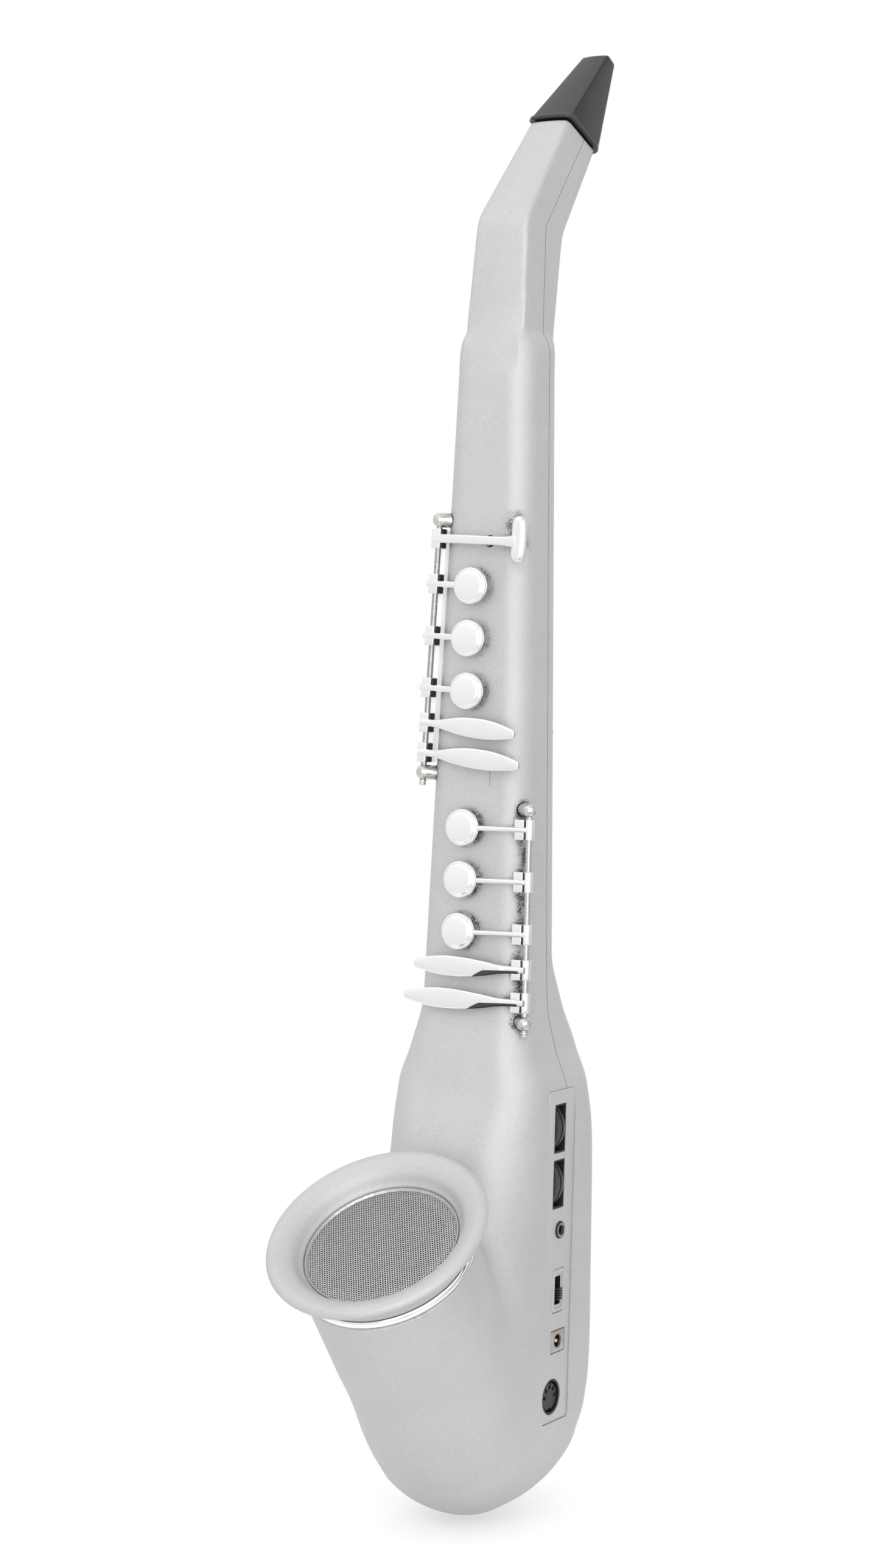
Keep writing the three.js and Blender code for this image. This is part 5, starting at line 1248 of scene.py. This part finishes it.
def key_hub(at, lower):
    """The block that turns on the rod."""
    if lower:
        half = HUB_LENGTH / 2
        return [
            rod("barrel", (0, 0, -half), (0, 0, half), 2.1, 0.25, 40, "chrome", at),
            block("flange", (4.4, 2.15, HUB_LENGTH), (3.4, -1.475, 0), 0.18, "chrome", at),
            # The black crease block is painted shadow: it stands for the shade between barrel and flange.
            block("crease", (0.8, 0.6, 8.1), (1.2, -2.12, 0), 0.08, "black", at),
        ]
    return [
        block("block", (4.3, 4.6, HUB_LENGTH), (-0.15, -0.1, 0), 0.3, "chrome", at),
        # The black block beside the hub is a painted dark reflection of its side face.
        block("painted_dark_reflection", (1.1, 3.7, 7.9), (2.0, 0.3, 0), 0.15, "black", at),
    ]


def rod_bore(at, reach, z=0.0):
    """The hole for the hinge rod."""
    return rod("bore", (0, 0, z - reach), (0, 0, z + reach), ROD_RADIUS + ROD_FIT, segments=40, matrix=at)


def bored(parts, at):
    """Joins the closed parts of a key and bores them for the rod."""
    return combine(combine(parts[0], parts[1:], "UNION"), [rod_bore(at, 6)])


def key_pin(reach, top, at):
    """The steel pin that presses the key's contact."""
    return rod("stem", (reach, -top, 0), (reach, PIN_END, 0), PIN_RADIUS, 0.3, 32, "steel", at)


def samples(table, count):
    """Even steps along a table's first column, with the table's own values."""
    return np.unique(np.concatenate([np.linspace(table[0, 0], table[-1, 0], count), table[:, 0]]))


def row_at(table, value):
    """A table's other columns at a value of its first column."""
    return (pchip(table[:, 0], table[:, k], value) for k in (1, 2, 3))


# The disc's profile, from the middle of its back round its grooved edge to its crowned face.
DISC_PROFILE = [
    (0, 0), (6.7, 0), (7.2, 0.16), (7.5, 0.5), (7.66, 0.9), (7.7, 1.2), (7.56, 1.27), (7.56, 1.4),
    (7.7, 1.47), (7.66, 1.8), (7.5, 2.12), (7.25, 2.32), (6.95, 2.4), (6.82, 2.38), (6.75, 2.0),
    (6.5, 2.0), (6.44, 2.46), (6.25, 2.6), (6.0, 2.78), (5.7, 2.96), (5.3, 3.1), (4.0, 3.32),
    (2.6, 3.46), (1.2, 3.53), (0, 3.55),
]


def disc_key(at, reach, lower):
    parts = key_hub(at, lower)
    if lower:
        parts.append(capsule("arm", (1.0, -2.4, 0), (reach - 5.0, -6.5, 0), 1.15, "chrome", at))
    else:
        run, rise = reach - 4.1, 3.8
        length = math.hypot(rise, run)
        slope = Matrix.Translation((-0.9, -2.7, 0)) @ Matrix.Rotation(-math.atan2(rise, run), 4, "Z")
        parts.append(block("arm", (length + 2.2, 1.7, 2.6), (length / 2 - 1.1, 0, 0), 0.6, "chrome",
                           at @ slope))
    parts.append(key_pin(reach, 6.0, at))
    if not lower:
        parts.append(block("tab", (3.2, 1.4, 2.6), (reach + 5.5, -5.3, -0.2), 0.25, "chrome", at))
    disc = lathe("disc", DISC_PROFILE, 96, "pearl", 28.0, at @ forward_at(reach, -5.4))
    return [bored(parts, at), disc]


# The leaf's centre line and half sizes: share of its reach, how far forward, half width, half thickness.
LEAF = [
    (-0.02, 2.7, 1.35, 1.2), (0.03, 2.9, 1.5, 1.3), (0.12, 3.7, 1.6, 1.3), (0.20, 5.0, 1.9, 1.25),
    (0.30, 6.2, 2.8, 1.1), (0.40, 7.0, 3.5, 1.0), (0.50, 7.4, 4.0, 0.9), (0.60, 7.55, 4.2, 0.9),
    (0.68, 7.55, 4.2, 0.9), (0.78, 7.5, 3.8, 0.9), (0.87, 7.45, 3.1, 0.9), (0.94, 7.4, 2.4, 0.9),
    (0.985, 7.35, 1.8, 0.9), (1.0, 7.35, 1.2, 0.6),
]


def leaf_blade(at, reach, droop):
    table = np.array(LEAF)
    rings = []
    for share in samples(table, 60):
        y, half, thick = row_at(table, share)
        along = max(0.0, (share - 0.24) / 0.76)
        centre = -along * along * droop
        ring = []
        for c, s in circle(28):
            bulge = 0.8 if s < 0 else 1.25
            ring.append((share * reach, -y + thick * math.copysign(abs(s) ** bulge, s), centre - half * c))
        rings.append(ring)
    return loft("blade", rings, "chrome", 0, at)


def painted_shade_strip(at, reach):
    """A dark strip under a lower leaf's arm: painted shade and a painted dark reflection."""
    rings = []
    for share in np.linspace(0.03, 0.43, 24):
        y, half, thick = row_at(np.array(LEAF), share)
        first = 0.2 + 0.74 * min(1.0, max(0.0, (share - 0.33) / 0.1))
        front = [(share * reach, -y - thick * math.sqrt(1 - c * c) ** 0.8 - 0.05, half * c)
                 for c in np.linspace(first, 0.985, 8)]
        rings.append(front + [(x, b + 0.35, z) for x, b, z in front[::-1]])
    return loft("painted_shade_strip", rings, "painted_shade", 0, at)


def leaf_key(at, reach, lower):
    parts = key_hub(at, lower) + [leaf_blade(at, reach, 0.3 if lower else 1.6)]
    # The lower leaves carry a strip of painted shade under the arm.
    if lower:
        parts.append(painted_shade_strip(at, reach))
    return [bored(parts + [key_pin(PIN_REACH["leaf"], 7.0, at)], at)]


# The tee's arm in millimetres: place along its reach, how far forward, half width, half thickness.
TEE_ARM = [(-1.4, 2.5, 1.2, 1.1), (0.0, 2.9, 1.75, 1.3), (4.0, 4.0, 1.85, 1.3), (12.75, 6.35, 1.85, 1.3),
           (21.0, 7.4, 1.85, 1.3), (34.0, 7.75, 1.8, 1.3), (39.0, 7.8, 2.2, 1.4), (42.0, 7.8, 2.8, 1.4)]


def tee_arm(at):
    table = np.array(TEE_ARM)
    rings = []
    for x in samples(table, 40):
        y, half, thick = row_at(table, x)
        shape = rounded(thick * 2, half * 2, min(0.75, thick * 0.8), 4)
        rings.append([(x, -y + b, a) for b, a in shape])
    return loft("arm", rings, "chrome", 0, at)


def tee_bar(at, reach):
    rows = []
    for up in np.linspace(-1, 1, 41):
        swell = math.sqrt(max(0.0, 1 - abs(up) ** 6))
        half, thick = 3.5 * max(0.12, swell), 2.7 * max(0.12, swell ** 0.7)
        ring = []
        for c, s in circle(32):
            dent = 0.28 * math.exp(-((c - 0.05) / 0.22) ** 2) if s < 0 else 0.0
            y = thick * (0.5 if s > 0 else 1.0) * s
            bulge = 0.86 + 0.18 * (1 - up * up) if c > 0 else 1.0
            ring.append((reach + half * c * bulge, -6.4 + y + dent * swell, 1.0 + up * 9.8))
        rows.append(ring)
    return loft("bar", rows, "chrome", 0, at)


def tee_key(at, reach, lower):
    parts = key_hub(at, lower) + [tee_arm(at), tee_bar(at, reach)]
    return [bored(parts + [key_pin(PIN_REACH["tee"], 7.4, at)], at)]


KEY_MAKERS = {"disc": disc_key, "leaf": leaf_key, "tee": tee_key}


def make_keys():
    for name, (stack, _, kind, reach) in KEYS.items():
        pieces = KEY_MAKERS[kind](key_frame(name), reach, stack == "lower")
        finish(joined(name + "_lever", pieces), name, name, 38)


POST_RADIUS, POST_LENGTH = 3.1, 7.2
ROD_PAST_POST, ROD_PAST_HEAD = 2.2, 3.4
RAIL_SIZE, RAIL_MIDDLE = (3.1, 4.5, 97.6), (0, 5.4, 52.8)


def post(name, at, z):
    """A round-ended hinge post that runs into the body."""
    radius, length = POST_RADIUS, POST_LENGTH
    profile = [(radius * c, radius * s) for c, s in arc(-90, 0, 13)]
    profile[0] = (0, -radius)
    profile += [(radius, length - 0.3), (radius - 0.2, length), (0, length)]
    local, _ = axis_matrix((0, 0, z), (POST_DIRECTION.x, POST_DIRECTION.y, z), at)
    return combine(lathe(name, profile, 64, "nickel", 35.0, local), [rod_bore(at, 5, z)])


def screw_head(at, z, out):
    """The slotted end of a hinge rod."""
    def part(name, low, high, radius, round_end=0.0):
        start, end = (0, 0, z + out * low), (0, 0, z + out * high)
        return rod(name, start, end, radius, round_end, 32, "nickel", at)

    head = part("head", 1.2, 2.1, 1.5, 0.35)
    combine(head, [block("slot", (3.6, 0.45, 1.0), (0, 0, z + out * 2.3), 0.01, None, at)])
    return [part("washer", 0, 0.8, 1.6, 0.2), part("neck", 0, 1.5, 1.05), head]


def make_hinge_rods():
    """Each rod with its slotted head. A row holds its frame, start, end, the head's side and its look."""
    spans = {"upper": (UPPER, UPPER_LENGTH + ROD_PAST_POST, -ROD_PAST_HEAD, -1, "rod"),
             "lower": (LOWER, -ROD_PAST_POST, LOWER_LENGTH + ROD_PAST_HEAD, 1, "bright_rod")}
    for stack, (at, start, end, out, look) in spans.items():
        bar = rod("bar", (0, 0, start), (0, 0, end), ROD_RADIUS, 0.0, 40, look, at)
        whole = joined(stack + "_rod_bar", [bar] + screw_head(at, end, out))
        finish(whole, "body", stack + "_hinge_rod", 35)


def make_posts():
    posts = {"upper_post_bottom": (UPPER, 0), "upper_post_top": (UPPER, UPPER_LENGTH),
             "lower_post_top": (LOWER, 0), "lower_post_bottom": (LOWER, LOWER_LENGTH)}
    for name, (at, z) in posts.items():
        finish(post(name + "_dome", at, z), "body", name, 35)


def make_rail():
    rail = block("upper_rail_strip", RAIL_SIZE, RAIL_MIDDLE, 0.35, "rail", UPPER)
    finish(rail, "body", "upper_rail")


# Socket panel and its fittings.
WINDOW_Y, WINDOW_WIDTH, WINDOW_HEIGHT = -1.8, 9.4, 20.6
WHEELS = {"volume_wheel": 168.0, "tuning_wheel": 144.6}
WHEEL_X, WHEEL_RADIUS, WHEEL_THICK, WHEEL_TEETH = 24.7, 11.2, 5.4, 84
SWITCH_Z, KNOB_Z, DC_Y, DC_Z, PHONES_Z = 99.4, 98.0, 1.0, 77.8, 125.0
JACK_X, SLOT_DEPTH, KNOB_LENGTH = 20.9, 3.4, 4.7


def facing(name, width, height, low, high, y, z, radius, bevel, look):
    """A rounded plate square to X."""
    return outline_prism(name, rounded(width, height, radius, 5), low, high, bevel, look, 35.0,
                         along_x(0, y, z))


def frame_plate(name, width, height, border, low, high, y, z, radius, bevel, look):
    plate = facing(name, width + border * 2, height + border * 2, low, high, y, z, radius, bevel, look)
    return combine(plate, [facing("hole", width, height, low - 2, high + 2, y, z, 0.3, 0.0, None)])


def make_panel():
    plate = panel_prism("panel_plate", 0.0, PANEL_IN, PANEL_OUT, 0.4)
    dress(plate, "paint")
    cuts = [facing("cut", WINDOW_WIDTH, WINDOW_HEIGHT, 30, CUT_OUT, WINDOW_Y, z, 0.5, 0, None)
            for z in WHEELS.values()]
    cuts.append(rod("cut", (30, 0, PHONES_Z), (CUT_OUT, 0, PHONES_Z), 3.7, segments=64))
    cuts.append(facing("cut", 9.6, 18.8, 30, CUT_OUT, 0, SWITCH_Z, 1.2, 0, None))
    cuts.append(facing("cut", 11.9, 9.9, 30, CUT_OUT, DC_Y, DC_Z, 0.4, 0, None))
    cuts.append(rod("cut", (30, MIDI_Y, MIDI_Z), (CUT_OUT, MIDI_Y, MIDI_Z), MIDI_RADIUS + 0.25, segments=96))
    combine(plate, [joined("cuts", cuts)])
    parts = [plate]
    width, height = WINDOW_WIDTH - 1.5, WINDOW_HEIGHT - 1.5
    for z in WHEELS.values():
        parts.append(frame_plate("window", width, height, 0.73, 31.2, PANEL_OUT - 0.12, WINDOW_Y, z,
                                 0.5, 0.12, "black"))
    for z in (67.8, 115.0):
        parts.append(rod("post", (JACK_X, 0, z), (33.4, 0, z), 1.7, look="black"))
    finish(joined("panel_plate", parts), "body", "side_panel", 35)


def make_wheels():
    half = WHEEL_THICK / 2
    outline = []
    for k, (c, s) in enumerate(circle(WHEEL_TEETH * 2)):
        radius = WHEEL_RADIUS - (0.0 if k % 2 else 0.42)
        outline.append((radius * c, radius * s))
    for name, z in WHEELS.items():
        at = forward_at(WHEEL_X, WINDOW_Y, z)
        wheel = outline_prism("wheel", outline, -half, half, 0.45, "wheel", 20.0, at)
        cuts = [lathe("groove", [(10.2, 0), (10.5, -0.55), (12.5, -0.75), (12.5, 0.75), (10.5, 0.55)], 96,
                      "black", 30.0, at)]
        for side in (1, -1):
            dish = [(3.6, side * 1.9), (3.6, side * 4.0), (8.6, side * 4.0), (8.2, side * 1.9)][::side]
            cuts.append(lathe("dish", dish, 64, "black", 30.0, at))
        combine(wheel, cuts)
        shaft = rod("shaft", (WHEEL_X, WINDOW_Y, z), (WHEEL_X, WINDOW_Y + 8.4, z), 1.6, 0.2, 32, "steel")
        finish(joined(name + "_ribbed", [wheel, shaft]), name, name, 28)


def turned(name, profile, look, y, z, segments=64):
    """A turned fitting, with its heights measured outwards from the panel's face."""
    return lathe(name, profile, segments, look, 35.0, along_x(PANEL_OUT, y, z))


def socket_bore(depth, y, z, radius, segments):
    """A round hole from in front of the panel's face to a depth behind it."""
    return rod("bore", (PANEL_OUT - depth, y, z), (PANEL_OUT + 2, y, z), radius, segments=segments)


def make_phones_jack():
    body = block("body", (11.9, 9.0, 12.0), ((JACK_X + 32.8) / 2, 0, PHONES_Z), 0.3, "black")
    combine(body, [socket_bore(13, 0, PHONES_Z, 1.8, 40)])
    sleeve = turned("sleeve", [(1.8, -3.0), (3.5, -3.0), (3.5, 0.45), (3.3, 0.72), (2.9, 0.8), (2.55, 0.7),
                               (2.45, 0.35), (1.95, 0.2), (1.8, 0.0)], "black", 0, PHONES_Z)
    ring = turned("ring", [(2.35, 0.2), (2.8, 0.2), (2.8, 0.8), (2.6, 0.92), (2.35, 0.8)], "nickel",
                  0, PHONES_Z)
    finish(joined("phones_socket", [body, sleeve, ring]), "body", "phones_jack", 35)


def make_switch_case():
    out = PANEL_OUT
    case = facing("case", 9.2, 18.4, JACK_X, out - 0.25, 0, SWITCH_Z, 1.0, 0.2, "paint")
    rim = frame_plate("rim", 6.6, 15.0, 1.3, out - 1.2, out + 0.3, 0, SWITCH_Z, 1.0, 0.3, "paint")
    combine(case, [facing("slot", 4.6, 12.0, out - SLOT_DEPTH, out + 3, 0, SWITCH_Z, 0.2, 0, "black")])
    finish(joined("switch_case", [case, rim]), "body", "power_switch_case", 35)


def make_switch_knob():
    """The ribbed knob, on a base that slides over the slot's floor."""
    low = PANEL_OUT + 0.3 - SLOT_DEPTH + 0.06
    knob = [block("base", (1.6, 4.4, KNOB_LENGTH), (low + 0.8, 0, KNOB_Z), 0.15, "black")]
    for k in range(5):
        z = KNOB_Z + (k - 2) * (KNOB_LENGTH - 0.5) / 4
        knob.append(block("rib", (3.1, 4.0, 0.55), (low + 2.75, 0, z), 0.14, "black"))
    finish(joined("switch_knob", knob), "power_switch_knob", "power_switch_knob", 35)


def make_dc_jack():
    case = facing("case", 11.0, 9.0, JACK_X, PANEL_OUT, DC_Y, DC_Z, 0.4, 0.15, "socket")
    combine(case, [socket_bore(9, DC_Y, DC_Z, 2.9, 64)])
    liner = turned("liner", [(2.6, -8.8), (2.9, -8.8), (2.9, -0.4), (2.6, -0.4)], "dull_brass", DC_Y, DC_Z)
    pin = capsule("pin", (PANEL_OUT - 9.3, DC_Y, DC_Z), (PANEL_OUT - 1.2, DC_Y, DC_Z), 1.0, "nickel")
    finish(joined("dc_socket", [case, liner, pin]), "body", "dc_jack", 35)


def make_midi_socket():
    """The round five-pole socket, with a short slot beside each hole."""
    plug = turned("midi", [(0, -13.8), (MIDI_RADIUS, -13.8), (MIDI_RADIUS, -0.25), (MIDI_RADIUS - 0.3, 0.0),
                           (6.75, 0.0), (6.6, -0.2), (6.6, -7.0), (5.9, -7.0), (5.9, -1.1), (5.6, -0.8),
                           (0, -0.8)], "black", MIDI_Y, MIDI_Z, 96)
    holes = []
    for turn in (90, 45, 135, 0, 180):
        c, s = math.cos(math.radians(turn)), math.sin(math.radians(turn))
        holes.append(socket_bore(7, MIDI_Y + 3.9 * c, MIDI_Z + 3.9 * s, 0.8, 24))
        at = Matrix.Translation((0, MIDI_Y, MIDI_Z)) @ Matrix.Rotation(math.radians(turn - 90), 4, "X")
        holes.append(block("spoke", (1.4, 0.7, 1.5), (PANEL_OUT - 0.7, 0, 4.9), 0.01, None, at))
    holes.append(facing("key", 2.6, 1.3, PANEL_OUT - 4, PANEL_OUT + 2, MIDI_Y, MIDI_Z - 5.6, 0.2, 0, None))
    combine(plug, holes)
    plug.name = "midi_plug_face"
    finish(plug, "body", "midi_socket", 35)


# Back of the stem.
OCTAVE = [(0.34, -0.12), (0.8, -0.12), (1.3, 0.4), (1.36, 0.86), (1.2, 0.94), (0.9, 0.94), (0.82, 0.7),
          (0.34, 0.1)]


def round_outline(points, radius):
    """An outline with its corners rounded."""
    steps = 5
    points = [np.array(p, float) for p in points]
    out = []
    for i, corner in enumerate(points):
        before, after = points[i - 1] - corner, points[(i + 1) % len(points)] - corner
        reach = min(radius, 0.45 * np.linalg.norm(before), 0.45 * np.linalg.norm(after))
        start = corner + before / np.linalg.norm(before) * reach
        end = corner + after / np.linalg.norm(after) * reach
        for k in range(steps + 1):
            t = k / steps
            out.append(tuple((1 - t) ** 2 * start + 2 * t * (1 - t) * corner + t * t * end))
    return out


OCTAVE_RISE, OCTAVE_LENGTH, OCTAVE_HALF, TRUNNION_REACH = 5.6, 17.0, 5.5, 7.7


def make_octave_keys():
    for name, height in OCTAVE_HINGES.items():
        y = back_at(height) + LUG_REACH / 2
        shape = [(rise * OCTAVE_RISE - LUG_REACH / 2, up * OCTAVE_LENGTH) for rise, up in OCTAVE]
        plate = outline_prism("plate", round_outline(shape, 1.2), -OCTAVE_HALF, OCTAVE_HALF, 0.5,
                              "chrome", 35.0, along_x(0, y, height), 3)
        ends = [(side * TRUNNION_REACH, y, height) for side in (-1, 1)]
        trunnion = rod("trunnion", *ends, TRUNNION, 0.15, 32, "steel")
        up = height + OCTAVE_PIN_UP
        pin = rod("pin", (0, y + 2.8, up), (0, y - 5.9, up), OCTAVE_PIN, 0.2, 32, "black")
        whole = combine(plate, [trunnion, pin], "UNION")
        whole.name = name + "_touch"
        finish(whole, name, name, 35)


HOOK = [(0, -0.6), (0.14, -0.6), (0.14, -0.2), (0.9, -0.34), (1, -0.24), (0.98, -0.14), (0.3, 0.02),
        (0.14, 0.1), (0.14, 0.6), (0, 0.6)]
HOOK_Z, HOOK_SIZE, HOOK_HALF, SCREW_UP = 262.0, 17, 8, 7.2
STRAP_Z, RING_WIRE, RING_RADIUS = STRAP_HEIGHT, 1.5, 12


def make_hook():
    y = back_at(HOOK_Z) + 0.3
    shape = round_outline([(out * HOOK_SIZE, up * HOOK_SIZE) for out, up in HOOK], 0.9)
    hook = outline_prism("thumb_hook_form", shape, -HOOK_HALF, HOOK_HALF, 0.55, "chrome", 35.0,
                         along_x(0, y, HOOK_Z), 3)
    base = y + 0.14 * HOOK_SIZE
    screws = []
    for z in (HOOK_Z - SCREW_UP, HOOK_Z + SCREW_UP):
        head = rod("screw", (0, base - 0.4, z), (0, base + 0.7, z), 2.0, 0.3, 32, "nickel")
        cross = ((5, 0.8, 0.5), (0.5, 0.8, 5))
        combine(head, [block("slot", size, (0, base + 0.9, z), 0.01) for size in cross])
        screws.append(head)
    finish(joined("thumb_rest", [hook] + screws), "body", "thumb_hook", 35)


STRAP_PLATE, EYE_RADIUS = 1.6, 4.0


def strap_axis():
    """How far back the strap ring's pin is."""
    return back_at(STRAP_Z) + 0.3 + STRAP_PLATE + EYE_RADIUS


def make_strap_eye():
    """The plate on the stem, with the eye for the strap's ring."""
    back, centre, nickel = back_at(STRAP_Z), strap_axis(), "nickel"
    plate = block("plate", (12, STRAP_PLATE, 18), (0, back + 1.1, STRAP_Z), 0.4, nickel)
    eye = rod("eye", (-2, centre, STRAP_Z), (2, centre, STRAP_Z), EYE_RADIUS, 0.5, 64, nickel)
    web = block("web", (4.0, 5.0, 7.6), (0, centre - 2.7, STRAP_Z), 0.4, nickel)
    combine(plate, [eye, web], "UNION")
    bore = rod("bore", (-5, centre, STRAP_Z), (5, centre, STRAP_Z), RING_WIRE + ROD_FIT, segments=40)
    combine(plate, [bore])
    heads = []
    for x, up in ((-4, -6.4), (-4, 6.4), (4, -6.4), (4, 6.4)):
        z = STRAP_Z + up
        heads.append(rod("rivet", (x, back + 1.6, z), (x, back + 2.5, z), 1.1, 0.5, 32, "steel"))
    finish(joined("strap_mount", [plate] + heads), "body", "strap_eye", 35)


def make_strap_ring():
    """A half ring of wire, closed by a straight pin through the eye."""
    centre, nickel = strap_axis(), "nickel"
    rings = []
    for along, up in arc(180, 360, 49):
        out = Vector((along, 0, up))
        middle = Vector((0, centre, STRAP_Z)) + out * RING_RADIUS
        steps = [out * c + Vector((0, s, 0)) for c, s in circle(24)]
        rings.append([tuple(middle + step * RING_WIRE) for step in steps])
    bow = loft("bow", rings, nickel, 0)
    pin = rod("pin", (-13.5, centre, STRAP_Z), (13.5, centre, STRAP_Z), RING_WIRE, 0.5, 32, nickel)
    ring = combine(bow, [pin], "UNION")
    ring.name = "strap_loop"
    finish(ring, "strap_ring", "strap_ring", 40)


def make_floor():
    """A pale floor that fades into the white background and keeps the object's shadow."""
    half, level = 900.0, -0.05
    corners = [(x * half, y * half, level) for x, y in ((-1, -1), (1, -1), (1, 1), (-1, 1))]
    floor = new_object("floor", corners, [(0, 1, 2, 3)], None, 0)
    n = Nodes("floor_white")
    n.principled(Base_Color=(0.66, 0.66, 0.66, 1), Roughness=0.9)
    n.set(n.shader, "Specular IOR Level", 0.0)
    split = n.fill(n.add("SeparateXYZ"), n.coords())
    x, y = split.outputs[0], n.math("ADD", split.outputs[1], 0.03)
    far = n.math("SQRT", n.math("ADD", n.math("MULTIPLY", x, x), n.math("MULTIPLY", y, y)), 0.0)
    clear = n.ramp(far, 0.08, 0.40, 0.0, 1.0, True)
    path, lift, whole = n.add("LightPath"), n.add("Emission"), n.add("AddShader")
    seen = n.math("MAXIMUM", path.outputs["Is Camera Ray"], path.outputs["Is Glossy Ray"])
    seen = n.math("MAXIMUM", seen, path.outputs["Is Transmission Ray"])
    n.set(lift, "Strength", n.math("MULTIPLY", seen, FLOOR_LIFT))
    n.fill(whole, n.shader.outputs[0], lift.outputs[0])
    mix, glass = n.add("MixShader"), n.add("BsdfTransparent")
    n.fill(mix, clear, whole.outputs[0], glass.outputs[0])
    n.tree.links.new(mix.outputs[0], n.tree.nodes["Material Output"].inputs["Surface"])
    floor.data.materials.append(n.material)


def make_world():
    """White all round for the eye. Metal also sees the studio's few dark gaps, at fixed directions."""
    world = bpy.data.worlds.new("studio")
    bpy.context.scene.world = world
    world.use_nodes = True
    tree = world.node_tree
    n = Nodes("studio", tree)
    fill, out = tree.nodes["Background"], tree.nodes["World Output"]
    white = (1, 1, 1, 1)
    split = n.fill(n.add("SeparateXYZ"), n.add("TexCoord").outputs["Generated"])
    height = split.outputs[2]
    n.fill(fill, white, n.ramp(height, -0.9, 0.4, 0.70 * FILL, 1.10 * FILL))
    azimuth = n.math("ARCTAN2", split.outputs[0], n.math("MULTIPLY", split.outputs[1], -1.0))
    level = n.ramp(height, -0.6, 0.5, 0.86, 1.0, True)
    for middle, half, depth in STUDIO_GAPS:
        away = n.math("ABSOLUTE", n.math("SUBTRACT", azimuth, middle), 0.0)
        level = n.math("MULTIPLY", level, n.ramp(away, half * 0.75, half, 1.0 - depth, 1.0, True))
    shiny = n.fill(n.add("Background"), white, level)
    seen = n.fill(n.add("Background"), white)
    path = n.add("LightPath")
    metal = n.math("MAXIMUM", path.outputs["Is Glossy Ray"], path.outputs["Is Transmission Ray"])
    first, last = n.add("MixShader"), n.add("MixShader")
    for mix, share, a, b in ((first, metal, fill, shiny), (last, path.outputs["Is Camera Ray"], first, seen)):
        n.fill(mix, share, a.outputs[0], b.outputs[0])
    n.tree.links.new(last.outputs[0], out.inputs["Surface"])


bpy.context.scene.view_settings.view_transform = "Standard"
make_camera()
dress_nodes()
front, rear, lid = make_shells()
# The front shell gets a level of painted shade and dust near the keys. The rear gets none.
for shell, node in ((front, "front_shell"), (rear, "rear_shell")):
    points = points_of(shell)
    set_attribute(shell, "dust_and_shade", dust_and_shade_levels(points) if shell is front else np.zeros(len(points)))
    finish(shell, "body", node, 50)
dress(lid, "paint")
finish(lid, "battery_door", "battery_door", 50)

finish(make_bell(), "body", "bell")
finish(make_bell_ring(), "body", "bell_ring")
finish(make_grille(), "body", "grille")
finish(make_mouthpiece(), "body", "mouthpiece", 32)
make_keys()
make_hinge_rods()
make_posts()
make_rail()
make_panel()
make_wheels()
make_phones_jack()
make_switch_case()
make_switch_knob()
make_dc_jack()
make_midi_socket()
make_octave_keys()
make_hook()
make_strap_eye()
make_strap_ring()
make_floor()
make_world()
area_light("key", (900, -1300, 560), (1.7, 1.7), 11.5)
area_light("top", (-300, -500, 1300), (1.3, 1.3), 1.5)
